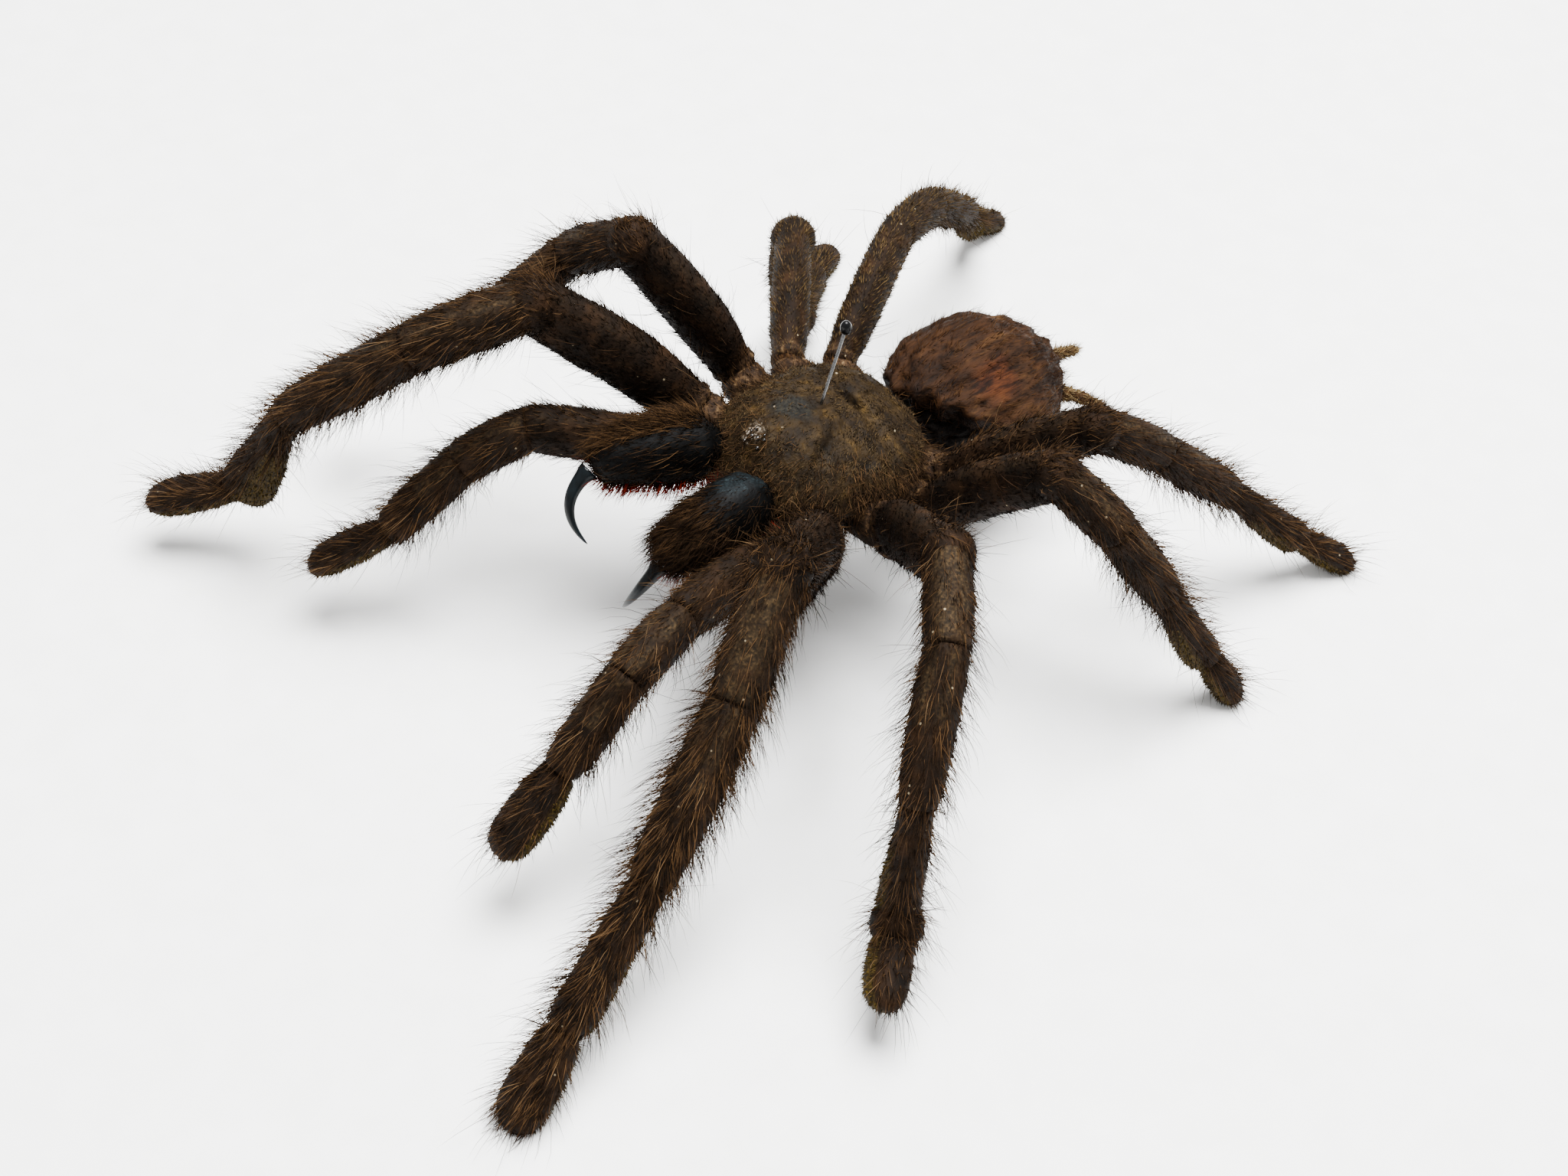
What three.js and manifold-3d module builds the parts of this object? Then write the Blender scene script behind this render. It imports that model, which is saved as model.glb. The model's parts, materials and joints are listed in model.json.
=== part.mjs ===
// A dried tarantula on an insect pin, standing on its own stiff feet.
// Millimetres, +Z up, head towards -Y, the animal's left side towards +X.
import * as THREE from "three";
import { mergeVertices } from "three/addons/utils/BufferGeometryUtils.js";
import Module from "manifold-3d";

const wasm = await Module();
wasm.setup();

// ---- Driving sizes -------------------------------------------------------

const GAP = 0.3; // clear space left where two pieces meet
const SOLE = 0.1; // height of a standing foot's tip above the floor, which cuts a flat sole under it

// The body plate: its rim height above the floor, and how the dried body leans.
const BODY = { height: 27.5, headUp: 2.4, rightUp: 7.3 };
const CARAPACE = { halfLength: 15.6, halfWidth: 12.9, crown: 5.9, rim: -1.2 };
const STERNUM = { halfLength: 11.5, halfWidth: 9, top: -1.9, bottom: -8.5 };
const COXA_INNER = 0.42; // where a coxa starts, as a share of the way out to its hip
const ABDOMEN = { x: 0.5, y: 25.8, z: 22, halfLength: 12.8, halfWidth: 11.9, halfHeight: 10.6 };
const PEDICEL = { radius: 2.2, reach: 6 };

// The pin goes in beside the fovea and leans a little to the rear left.
const PIN = { entry: [0.1, -0.6, 33.2], lean: [0.117, 0.188, 0.975], above: 12.6, length: 38, radius: 0.26, headRadius: 0.92 };

// A limb's hip in the body's own frame: sideways, forwards, upwards.
const HIP = {
  palp: [9.8, 14.6, -4.6],
  1: [13.8, 10.6, -2],
  2: [16.2, 2.1, -1.4],
  3: [14.8, -6, -4],
  4: [11.5, -11.9, -4.4],
};

const LEG_SEGMENTS = ["femur", "patella", "tibia", "metatarsus", "tarsus"];
const PALP_SEGMENTS = ["femur", "patella", "tibia", "tarsus"];

// Segment lengths, hip to tip.
const LENGTHS = {
  palp: [20, 10.7, 13.6, 12.5],
  1: [26.2, 16.2, 22.6, 19.2, 12.4],
  2: [24.1, 12.8, 18, 16.6, 11],
  3: [24.2, 10.5, 14, 14, 8.6],
  4: [24, 12, 17, 16, 9.8],
};

// Half width and half height of each segment of the first leg; the other limbs are thinner.
const GIRTH = { femur: [2.75, 3.9], patella: [3.0, 3.2], tibia: [3.0, 3.0], metatarsus: [2.45, 2.35], tarsus: [2.75, 1.9] };
const STOUTNESS = { palp: 0.86, 1: 1, 2: 0.93, 3: 0.92, 4: 0.86 };

// Compass bearing of each segment (0 = the animal's left, -90 = straight ahead) and its climb, in degrees.
const POSE = {
  palp_left: { limb: "palp", bearing: [-73, -71, -88, -84], climb: [14, -2, -42, -36] },
  palp_right: { limb: "palp", bearing: [-126, -127, -103, -123], climb: [13, -33, -37, -29] },
  leg_left_1: { limb: 1, bearing: [-52, -63, -69, -72, -72], climb: [40, -43, -36, -30, -30], stands: true },
  leg_left_2: { limb: 2, bearing: [-19, -40, -51, -57, -46], climb: [38, -12, -40, -71, -8] },
  leg_left_3: { limb: 3, bearing: [17, 31, 56, 56, 50], climb: [43, -38, -58, -60, -50], stands: true },
  leg_left_4: { limb: 4, bearing: [33, 74, 77, 62, 61], climb: [38, -37, -44, -43, -30], stands: true },
  leg_right_1: { limb: 1, bearing: [-126, -115, -136, -145, -128], climb: [42, -16, -38, -57, -14] },
  leg_right_2: { limb: 2, bearing: [-130, -164, -123, -145, -135], climb: [58, -34, -41, -36, -36] },
  leg_right_3: { limb: 3, bearing: [141, 152, 130, 130, 127], climb: [5, -66, -66, -10, -16], stands: true },
  leg_right_4: { limb: 4, bearing: [121, 116, 115, 133, 107], climb: [14, -17, -38, -43, -27], stands: true },
};

// Chelicerae and fangs: the points each one runs through.
const CHELICERA = {
  left: [[4.7, -12.6, 28.2], [5.4, -21.5, 28.6], [5.7, -29.4, 27]],
  right: [[-4.7, -12.6, 29], [-7.4, -21, 30.8], [-10, -28.8, 30.8]],
};
const CHELICERA_RADIUS = 4.4;
const FANG = {
  left: [[5.6, -30, 25.9], [5.2, -32.8, 23.4], [3.6, -34.1, 20]],
  right: [[-10.2, -29.7, 29.7], [-9.2, -33, 26.6], [-6.4, -32.5, 22]],
};
const SPINNERET = {
  left: { from: [5.6, 35.2, 19.6], to: [11.4, 39.6, 18.2], radius: 1.25 },
  right: { from: [0.6, 37, 20.4], to: [2.4, 42.2, 21.2], radius: 1.25 },
};

// How thick a piece is along its length: [share of the length, share of the full girth].
const SHAPE = {
  femur: [[-0.1, 0.66], [0.03, 0.7], [0.09, 0.62], [0.22, 0.88], [0.5, 1], [0.85, 0.88], [1.12, 0.8]],
  patella: [[-0.2, 0.78], [0.08, 0.8], [0.28, 0.96], [0.65, 1], [0.92, 0.9], [1.2, 0.88]],
  tibia: [[-0.15, 0.84], [0.07, 0.86], [0.3, 1], [0.68, 0.97], [0.93, 0.82], [1.15, 0.8]],
  metatarsus: [[-0.15, 0.84], [0.08, 0.9], [0.35, 1], [0.72, 0.98], [0.94, 0.84], [1.15, 0.8]],
  tarsus: [[-0.2, 0.66], [0.08, 0.76], [0.35, 0.98], [0.7, 0.98], [0.9, 0.78], [1, 0.3]],
  coxa: [[0, 0.86], [0.6, 1], [1.15, 0.9]],
};

// ---- Solids --------------------------------------------------------------

const v3 = (a) => new THREE.Vector3(...a);

function toSolid(geometry) {
  const bare = new THREE.BufferGeometry().setAttribute("position", geometry.getAttribute("position")).setIndex(geometry.getIndex());
  const merged = mergeVertices(bare, 1e-4);
  return new wasm.Manifold(
    new wasm.Mesh({ numProp: 3, vertProperties: merged.attributes.position.array, triVerts: new Uint32Array(merged.index.array) }),
  );
}

function toGeometry(solid) {
  const { vertProperties, triVerts } = solid.getMesh();
  const geometry = new THREE.BufferGeometry();
  geometry.setAttribute("position", new THREE.BufferAttribute(vertProperties, 3));
  geometry.setIndex(new THREE.BufferAttribute(triVerts, 1));
  geometry.computeVertexNormals();
  return geometry;
}

// A turned spindle along `axis` from `start`; its half height stays in the upright plane.
function spindle({ start, axis, length, shape, halfWidth, halfHeight, sides = 8 }) {
  const profile = shape.map(([t, r]) => new THREE.Vector2(r, t * length));
  profile.unshift(new THREE.Vector2(0, profile[0].y));
  profile.push(new THREE.Vector2(0, profile.at(-1).y));
  const side = new THREE.Vector3().crossVectors(axis, new THREE.Vector3(0, 0, 1)).normalize();
  const up = new THREE.Vector3().crossVectors(side, axis).normalize();
  const place = new THREE.Matrix4().makeBasis(side, axis, up).setPosition(start);
  return toSolid(new THREE.LatheGeometry(profile, sides).scale(halfWidth, 1, halfHeight).applyMatrix4(place));
}

// Keep what lies on the side of the plane that `normal` points to.
const trim = (solid, normal, point) => solid.trimByPlane(normal.toArray(), normal.dot(point));

// A round tapering body that follows a curve.
function horn({ points, radius, sides = 8, rings = 8 }) {
  const curve = new THREE.CatmullRomCurve3(points.map(v3));
  const frames = curve.computeFrenetFrames(rings - 1, false);
  const positions = [];
  const index = [];
  for (let i = 0; i < rings; i++) {
    const t = i / (rings - 1);
    const centre = curve.getPoint(t);
    for (let j = 0; j < sides; j++) {
      const a = (2 * Math.PI * j) / sides;
      const p = centre.clone().addScaledVector(frames.normals[i], radius(t) * Math.cos(a)).addScaledVector(frames.binormals[i], radius(t) * Math.sin(a));
      positions.push(...p.toArray());
    }
  }
  for (let i = 0; i < rings - 1; i++)
    for (let j = 0; j < sides; j++) {
      const [a, b, c, d] = [i * sides + j, i * sides + ((j + 1) % sides), (i + 1) * sides + ((j + 1) % sides), (i + 1) * sides + j];
      index.push(a, b, c, a, c, d);
    }
  for (let j = 1; j < sides - 1; j++) {
    index.push(0, j + 1, j);
    const last = (rings - 1) * sides;
    index.push(last, last + j, last + j + 1);
  }
  const geometry = new THREE.BufferGeometry();
  geometry.setAttribute("position", new THREE.Float32BufferAttribute(positions, 3));
  geometry.setIndex(index);
  return toSolid(geometry);
}

// ---- Body ----------------------------------------------------------------

// The body's own frame: x to its left, -y ahead, z up from the carapace rim.
const bodyFrame = new THREE.Matrix4()
  .makeRotationFromEuler(new THREE.Euler(THREE.MathUtils.degToRad(-BODY.headUp), THREE.MathUtils.degToRad(BODY.rightUp), 0))
  .setPosition(0, 0, BODY.height);
const inBody = ([sideways, forwards, up]) => v3([sideways, -forwards, up]).applyMatrix4(bodyFrame);

// The domed back plate: egg-shaped in plan, higher at the head, grooved from the fovea outwards.
function carapaceSolid(extra = 0) {
  const geometry = new THREE.SphereGeometry(1, 24, 11).rotateX(Math.PI / 2);
  const at = geometry.getAttribute("position");
  for (let i = 0; i < at.count; i++) {
    const x = at.getX(i), y = at.getY(i), z = at.getZ(i);
    const ahead = -y;
    const narrowing = 1 - 0.3 * Math.max(0, ahead - 0.25) ** 1.2 - 0.08 * Math.max(0, -ahead - 0.3);
    const out = Math.hypot(x, y);
    const groove = 0.35 * Math.cos(6 * Math.atan2(x, ahead)) * Math.sin(Math.PI * Math.min(1, out)) ** 2;
    const head = 1.5 * Math.exp(-(((ahead - 0.5) / 0.3) ** 2) - (x / 0.36) ** 2);
    const dome = CARAPACE.crown * (1 - Math.min(1, out) ** 2.4) ** 0.72;
    at.setXYZ(
      i,
      x * narrowing * (CARAPACE.halfWidth + extra),
      y * (CARAPACE.halfLength + extra),
      z > 0 ? dome + (head + groove) * Math.sqrt(z) + extra : CARAPACE.rim * Math.min(1, -z * 3) - (z < 0 ? extra : 0),
    );
  }
  return toSolid(geometry.applyMatrix4(bodyFrame));
}

const pinAxis = v3(PIN.lean).normalize();
const pinTop = v3(PIN.entry).addScaledVector(pinAxis, PIN.above);
const pinFoot = pinTop.clone().addScaledVector(pinAxis, -PIN.length);

// A rod the width of the pin plus `extra`, with a point at its lower end.
const pinRod = (extra) =>
  spindle({
    start: pinFoot, axis: pinAxis, length: PIN.length, sides: 8,
    shape: [[-0.0001, 0.15], [0.06, 1], [1, 1]], halfWidth: PIN.radius + extra, halfHeight: PIN.radius + extra,
  });

const pinHole = pinRod(GAP);
const fovea = toSolid(new THREE.SphereGeometry(1, 10, 6).scale(1.9, 0.9, 1.3).translate(0, 3.6, CARAPACE.crown + 1).applyMatrix4(bodyFrame));
const eyeMound = toSolid(new THREE.SphereGeometry(1, 10, 6).scale(1.7, 1.3, 1.1).translate(0, -12.8, 4.1).applyMatrix4(bodyFrame));
const carapace = carapaceSolid().add(eyeMound).subtract(fovea).subtract(pinHole);
const carapaceRoom = carapaceSolid(GAP);

const cheliceraSolid = (points, extra = 0) => horn({ points, sides: 10, rings: 9, radius: (t) => extra + CHELICERA_RADIUS * (0.88 + 0.16 * Math.sin(Math.PI * Math.min(1, t * 1.3)) - 7 * Math.max(0, t - 0.76) ** 2) });
const fangSolid = (points, extra = 0) => horn({ points, sides: 8, rings: 8, radius: (t) => extra + 1.25 * (1 - t) ** 0.75 + 0.14 });

// Where a limb leaves the body: its hip, and the coxa's direction out to it.
function coxaOf(name) {
  const { limb } = POSE[name];
  const [sideways, forwards, up] = HIP[limb];
  const side = name.includes("left") ? 1 : -1;
  const hip = inBody([side * sideways, forwards, up]);
  const inner = inBody([side * sideways * COXA_INNER, forwards * (limb === "palp" ? 0.62 : 0.8), -4.8]);
  return { hip, inner, axis: hip.clone().sub(inner).normalize() };
}

const direction = (bearing, climb) => {
  const [b, c] = [THREE.MathUtils.degToRad(bearing), THREE.MathUtils.degToRad(climb)];
  return new THREE.Vector3(Math.cos(b) * Math.cos(c), Math.sin(b) * Math.cos(c), Math.sin(c));
};

// Each limb is a chain of spindles, mitred where they meet so that the joint stays open by GAP.
function limb(name) {
  const { limb: kind, bearing, climb, stands } = POSE[name];
  const names = kind === "palp" ? PALP_SEGMENTS : LEG_SEGMENTS;
  const lengths = LENGTHS[kind];
  const coxa = coxaOf(name);
  const axes = [];
  const joints = [coxa.hip];
  names.forEach((_, i) => {
    // A standing limb's last segment is turned down until its tip is SOLE above the floor.
    const down = stands && i + 1 === names.length;
    const rise = down ? THREE.MathUtils.radToDeg(Math.asin((SOLE - joints[i].z) / lengths[i])) : climb[i];
    axes.push(direction(bearing[i], rise));
    joints.push(joints[i].clone().addScaledVector(axes[i], lengths[i]));
  });
  const pieces = new Map();
  names.forEach((segment, i) => {
    const [halfWidth, halfHeight] = GIRTH[segment].map((g) => g * STOUTNESS[kind]);
    let solid = spindle({ start: joints[i], axis: axes[i], length: lengths[i], shape: SHAPE[segment], halfWidth, halfHeight });
    const inward = (i ? axes[i - 1] : coxa.axis).clone().add(axes[i]).normalize();
    solid = trim(solid, inward, joints[i].clone().addScaledVector(inward, GAP / 2));
    if (i + 1 < names.length) {
      const outward = axes[i].clone().add(axes[i + 1]).normalize().negate();
      solid = trim(solid, outward, joints[i + 1].clone().addScaledVector(outward, GAP / 2));
    }
    if (stands) solid = trim(solid, new THREE.Vector3(0, 0, 1), new THREE.Vector3(0, 0, 0));
    pieces.set(`${name}_${segment}`, solid);
  });
  return pieces;
}

// The breast plate and the ten coxae are one grown shell.
function sternumAndCoxae() {
  const height = (STERNUM.top - STERNUM.bottom) / 2;
  let solid = toSolid(
    new THREE.SphereGeometry(1, 16, 6).rotateX(Math.PI / 2).scale(STERNUM.halfWidth, STERNUM.halfLength, height).translate(0, 0, STERNUM.top - height).applyMatrix4(bodyFrame),
  );
  for (const name of Object.keys(POSE)) {
    const { hip, inner, axis } = coxaOf(name);
    const first = direction(POSE[name].bearing[0], POSE[name].climb[0]);
    const out = axis.clone().add(first).normalize().negate();
    const girth = 2.9 * STOUTNESS[POSE[name].limb];
    const coxa = spindle({ start: inner, axis, length: hip.distanceTo(inner), shape: SHAPE.coxa, halfWidth: girth, halfHeight: girth, sides: 6 });
    solid = solid.add(trim(coxa, out, hip.clone().addScaledVector(out, GAP / 2)));
  }
  return solid.subtract(carapaceRoom).subtract(pinHole);
}

// The sagging, dried sac of the abdomen with its stalk.
function abdomenSolid() {
  const geometry = new THREE.SphereGeometry(1, 20, 10).rotateX(Math.PI / 2);
  const at = geometry.getAttribute("position");
  for (let i = 0; i < at.count; i++) {
    const x = at.getX(i), y = at.getY(i), z = at.getZ(i);
    const fold = 1 + 0.035 * Math.sin(5 * Math.atan2(z, x) + 2 * y) * (1 - y * y);
    const tail = 1 - 0.16 * Math.max(0, y - 0.3);
    at.setXYZ(i, x * ABDOMEN.halfWidth * fold * tail, y * ABDOMEN.halfLength, z * ABDOMEN.halfHeight * fold * tail);
  }
  const sac = toSolid(geometry.translate(ABDOMEN.x, ABDOMEN.y, ABDOMEN.z));
  const front = new THREE.Vector3(ABDOMEN.x, ABDOMEN.y - ABDOMEN.halfLength + 1.5, ABDOMEN.z);
  const stalk = spindle({ start: front, axis: new THREE.Vector3(0, -1, 0), length: PEDICEL.reach, shape: [[0, 1], [1, 0.8]], halfWidth: PEDICEL.radius, halfHeight: PEDICEL.radius });
  return sac.add(stalk);
}

// ---- Assembly ------------------------------------------------------------

const material = (name, color, roughness) => new THREE.MeshStandardMaterial({ name, color, roughness });
const FINISH = {
  carapace: ["carapace_velvet", 0x4a3d26, 0.8],
  sternum: ["sternum_fur", 0x2a1a10, 0.85],
  abdomen: ["abdomen_skin", 0x5a3018, 0.75],
  chelicera: ["chelicera_cuticle", 0x1c1712, 0.45],
  fang: ["fang_horn", 0x0b0d10, 0.2],
  limb: ["limb_fur", 0x38241a, 0.85],
  spinneret: ["spinneret_fur", 0x6b4a30, 0.85],
  pin: ["pin_enamel", 0x0a0a0c, 0.25],
};

const root = new THREE.Group();
root.name = "pinned_tarantula";
function addPiece(name, solid, finish) {
  const mesh = new THREE.Mesh(toGeometry(solid), material(...FINISH[finish]));
  mesh.name = name;
  root.add(mesh);
}

const chelicerae = {}, cheliceraRooms = [];
for (const side of ["left", "right"]) {
  const fangRoom = fangSolid(FANG[side], GAP);
  chelicerae[side] = cheliceraSolid(CHELICERA[side]).subtract(carapaceRoom).subtract(fangRoom);
  cheliceraRooms.push(cheliceraSolid(CHELICERA[side], GAP));
}

let underside = sternumAndCoxae();
let sac = abdomenSolid().subtract(carapaceRoom);
const limbs = new Map();
for (const name of Object.keys(POSE)) for (const [piece, solid] of limb(name)) limbs.set(piece, solid);
for (const room of cheliceraRooms) underside = underside.subtract(room);
for (const [piece, solid] of limbs) {
  if (!piece.endsWith("femur")) continue;
  limbs.set(piece, [carapaceRoom, ...cheliceraRooms].reduce((s, room) => s.subtract(room), solid));
}
// The stalk ends just short of the breast plate.
const undersideRear = trim(underside, new THREE.Vector3(0, 1, 0), new THREE.Vector3(0, 5, 0)).translate([0, GAP, 0]);
sac = sac.subtract(undersideRear).subtract(underside);

addPiece("carapace", carapace, "carapace");
addPiece("sternum_and_coxae", underside, "sternum");
addPiece("abdomen", sac, "abdomen");
for (const side of ["left", "right"]) {
  addPiece(`chelicera_${side}`, chelicerae[side], "chelicera");
  addPiece(`fang_${side}`, fangSolid(FANG[side]), "fang");
  const { from, to, radius } = SPINNERET[side];
  const axis = v3(to).sub(v3(from));
  const room = abdomenSolid();
  const finger = spindle({ start: v3(from), axis: axis.clone().normalize(), length: axis.length(), shape: SHAPE.tarsus, halfWidth: radius, halfHeight: radius });
  addPiece(`spinneret_${side}`, finger.subtract(room).translate(axis.clone().normalize().multiplyScalar(GAP).toArray()), "spinneret");
}
addPiece("pin", pinRod(0).add(toSolid(new THREE.SphereGeometry(PIN.headRadius, 12, 8).translate(...pinTop.toArray()))), "pin");
for (const [piece, solid] of limbs) addPiece(piece, solid, "limb");

// The footprint is centred on the origin and the feet stand on z = 0.
const box = new THREE.Box3().setFromObject(root);
const middle = box.getCenter(new THREE.Vector3());
root.position.set(-middle.x, -middle.y, -box.min.z);

export default root;
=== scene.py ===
# %% [markdown]
# # A dried tarantula on an insect pin
# A mounted spider is hollow horn covered with hair. Each piece of horn is drawn out of a ring with bmesh
# operators, and then the hair is laid over it as thin closed spikes, combed from root to tip of each limb.
# Lengths are worked out in millimetres and stored in metres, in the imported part's own frame: +Z up, head
# towards -Y, the animal's left towards +X.

import json
import math

import bmesh
import bpy
import numpy as np
from mathutils import Euler, Matrix, Vector, noise

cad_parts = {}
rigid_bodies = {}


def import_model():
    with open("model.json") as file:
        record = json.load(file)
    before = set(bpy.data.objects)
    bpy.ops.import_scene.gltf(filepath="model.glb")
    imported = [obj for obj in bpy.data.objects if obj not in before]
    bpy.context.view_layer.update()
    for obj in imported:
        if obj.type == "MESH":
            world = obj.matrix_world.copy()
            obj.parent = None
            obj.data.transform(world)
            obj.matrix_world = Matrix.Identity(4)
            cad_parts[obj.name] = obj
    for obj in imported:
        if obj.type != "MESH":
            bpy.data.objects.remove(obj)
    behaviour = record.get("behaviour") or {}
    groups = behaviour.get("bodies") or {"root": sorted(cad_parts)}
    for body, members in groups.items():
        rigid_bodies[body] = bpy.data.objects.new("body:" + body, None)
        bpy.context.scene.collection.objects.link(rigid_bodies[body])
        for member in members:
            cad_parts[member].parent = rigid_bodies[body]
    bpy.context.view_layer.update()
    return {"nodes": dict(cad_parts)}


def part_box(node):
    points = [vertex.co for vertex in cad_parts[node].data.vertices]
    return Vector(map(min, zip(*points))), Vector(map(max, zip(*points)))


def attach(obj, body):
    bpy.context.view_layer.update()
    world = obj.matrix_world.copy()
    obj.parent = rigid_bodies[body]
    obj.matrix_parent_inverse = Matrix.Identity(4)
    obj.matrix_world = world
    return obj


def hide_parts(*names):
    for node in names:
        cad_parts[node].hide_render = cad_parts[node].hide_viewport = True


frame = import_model()
MM = 0.001
UP = Vector((0, 0, 1))
SHIFT = Vector((-0.8, 4.48, 0))  # mm, from the drawing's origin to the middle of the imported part
rng = np.random.default_rng(11)
print("packed nodes:", len(frame["nodes"]))

# %% [markdown]
# ## Where the joints are
# A limb is a chain of straight pieces. Each piece has a length, a compass bearing (0 is the animal's left,
# -90 is straight ahead) and a climb, so a few round numbers give every joint. Left and right limbs share
# their lengths, as they do in life, and differ only in how they dried.

# %% Sizes and bends of the limbs
# Where a hip sits in the body's own frame: how far out, how far ahead and how high, in mm.
HIP = {
    "palp": (9.8, 14.6, -4.6),
    "1": (13.8, 10.6, -2),
    "2": (16.2, 2.1, -1.4),
    "3": (14.8, -6, -4),
    "4": (11.5, -11.9, -4.4),
}
# Length of each piece, from the hip out, in mm.
LENGTHS = {
    "palp": (20, 10.7, 13.6, 12.5),
    "1": (26.2, 16.2, 22.6, 19.2, 12.4),
    "2": (24.1, 12.8, 18, 16.6, 11),
    "3": (24.2, 10.5, 14, 14, 8.6),
    "4": (24, 12, 17, 16, 9.8),
}
# Bearing and climb of each piece, in degrees.
POSE = {
    "palp_left": ((-73, -71, -88, -84), (14, -2, -42, -36)),
    "palp_right": ((-126, -127, -103, -123), (13, -33, -37, -29)),
    "leg_left_1": ((-52, -63, -69, -72, -72), (40, -43, -36, -30, -30)),
    "leg_left_2": ((-19, -40, -51, -57, -46), (38, -12, -40, -71, -8)),
    "leg_left_3": ((17, 31, 56, 56, 50), (43, -38, -58, -60, -50)),
    "leg_left_4": ((33, 74, 77, 62, 61), (38, -37, -44, -43, -30)),
    "leg_right_1": ((-126, -115, -136, -145, -128), (42, -16, -38, -57, -14)),
    "leg_right_2": ((-130, -164, -123, -145, -135), (58, -34, -41, -36, -36)),
    "leg_right_3": ((141, 152, 130, 130, 127), (5, -66, -66, -10, -16)),
    "leg_right_4": ((121, 116, 115, 133, 107), (14, -17, -38, -43, -27)),
}
STANDING = ("leg_left_1", "leg_left_3", "leg_left_4", "leg_right_3", "leg_right_4")
SEGMENTS = ("femur", "patella", "tibia", "metatarsus", "tarsus")
LIMBS = {limb: [s for s in SEGMENTS if s != "metatarsus" or "palp" not in limb] for limb in POSE}
print("limbs:", len(LIMBS), "pieces:", sum(len(segments) for segments in LIMBS.values()))

# %% [markdown]
# ## The body's frame and the joints
# The body dried with its nose up a little and leaning to one side, so the hips are placed in a turned frame
# of its own. From each hip the joints follow one another. The last piece of a standing limb is turned down
# until its tip reaches the floor, which is exact where a measured angle would leave the foot in the air.

# %% The body's frame
BODY_HEIGHT = 27.5  # mm, from the floor to the body's middle
NOD, LEAN = math.radians(-2.4), math.radians(7.3)
MIDDLE = SHIFT + Vector((0, 0, BODY_HEIGHT))  # mm
BODY = Matrix.Translation(MIDDLE * MM) @ Euler((NOD, LEAN, 0)).to_matrix().to_4x4()
print("middle of the body:", [round(c / MM, 1) for c in BODY.translation], "mm")

# %% Joints
TIP_HEIGHT = 0.1  # mm, from the floor to the middle line of a standing tip


def pair_of(limb):
    """The key that a left and a right limb share."""
    return "palp" if "palp" in limb else limb[-1]


def heading(bearing, climb):
    """A unit vector along a bearing and a climb, both in radians."""
    level = math.cos(climb)
    return Vector((math.cos(bearing) * level, math.sin(bearing) * level, math.sin(climb)))


JOINTS = {}
for limb, (bearings, climbs) in POSE.items():
    out, ahead, high = HIP[pair_of(limb)]
    line = [BODY @ (Vector((out if "left" in limb else -out, -ahead, high)) * MM)]
    for k, length in enumerate(LENGTHS[pair_of(limb)]):
        climb = math.radians(climbs[k])
        if limb in STANDING and k == len(bearings) - 1:
            climb = math.asin((TIP_HEIGHT * MM - line[-1].z) / (length * MM))
        line.append(line[-1] + heading(math.radians(bearings[k]), climb) * length * MM)
    JOINTS[limb] = line
    low, high = (Vector(c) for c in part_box(f"{limb}_{LIMBS[limb][-1]}"))
    miss = (line[-1] - (low + high) / 2).length / MM
    print(limb, "tip is", round(miss, 1), "mm from the middle of its packed last piece")

# %% [markdown]
# ## Helpers for materials
# `linear` turns an sRGB hex colour to linear light. `add` makes any shader node, sets or links its inputs
# and fills its ramp, so that a material reads as a short list of nodes.

# %% Colours and nodes
def linear(code):
    """An sRGB hex colour as linear RGBA."""
    parts = [int(code[i : i + 2], 16) / 255 for i in (1, 3, 5)]
    return (*[x / 12.92 if x <= 0.04045 else ((x + 0.055) / 1.055) ** 2.4 for x in parts], 1.0)


def add(tree, kind, inputs=(), out=0, stops=(), **settings):
    """Adds a shader node, sets or links its inputs, and gives back one of its output sockets."""
    node = tree.nodes.new("ShaderNode" + kind)
    for key, value in settings.items():
        setattr(node, key, value)
    for key, value in dict(inputs).items():
        if isinstance(value, bpy.types.NodeSocket):
            tree.links.new(value, node.inputs[key])
        else:
            node.inputs[key].default_value = value
    if stops:
        elements = node.color_ramp.elements
        elements[0].position, elements[1].position = stops[0][0], stops[-1][0]
        for at, _ in stops[1:-1]:
            elements.new(at)
        for element, (_, code) in zip(elements, stops):
            element.color = linear(code)
    return node.outputs[out]


print("mid grey in linear light:", round(linear("#808080")[0], 3))

# %% Starting and finishing a material
FACTOR, UNDER, OVER, MIXED = 0, 6, 7, 2  # sockets of a Mix node that is set to colours


def grain(size_mm):
    """The scale of a noise whose features are about this large."""
    return 1000 / size_mm


def start(name, **sockets):
    """A new material: its tree, its Principled shader, and the piece's own coordinates."""
    made = bpy.data.materials.new(name)
    made.use_nodes = True
    tree = made.node_tree
    shader = next(n for n in tree.nodes if n.type == "BSDF_PRINCIPLED")
    for key, value in sockets.items():
        shader.inputs[key.replace("_", " ")].default_value = value
    return made, tree, shader, add(tree, "TexCoord", out="Object")


def cover(tree, shader, colour, height, depth_mm):
    """Links a colour and a bump of the given depth to a shader."""
    bump = add(tree, "Bump", {"Height": height, "Distance": depth_mm * MM, "Strength": 1.0})
    tree.links.new(colour, shader.inputs["Base Color"])
    tree.links.new(bump, shader.inputs["Normal"])


print("a 3 mm grain has scale", round(grain(3.0), 1))
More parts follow.
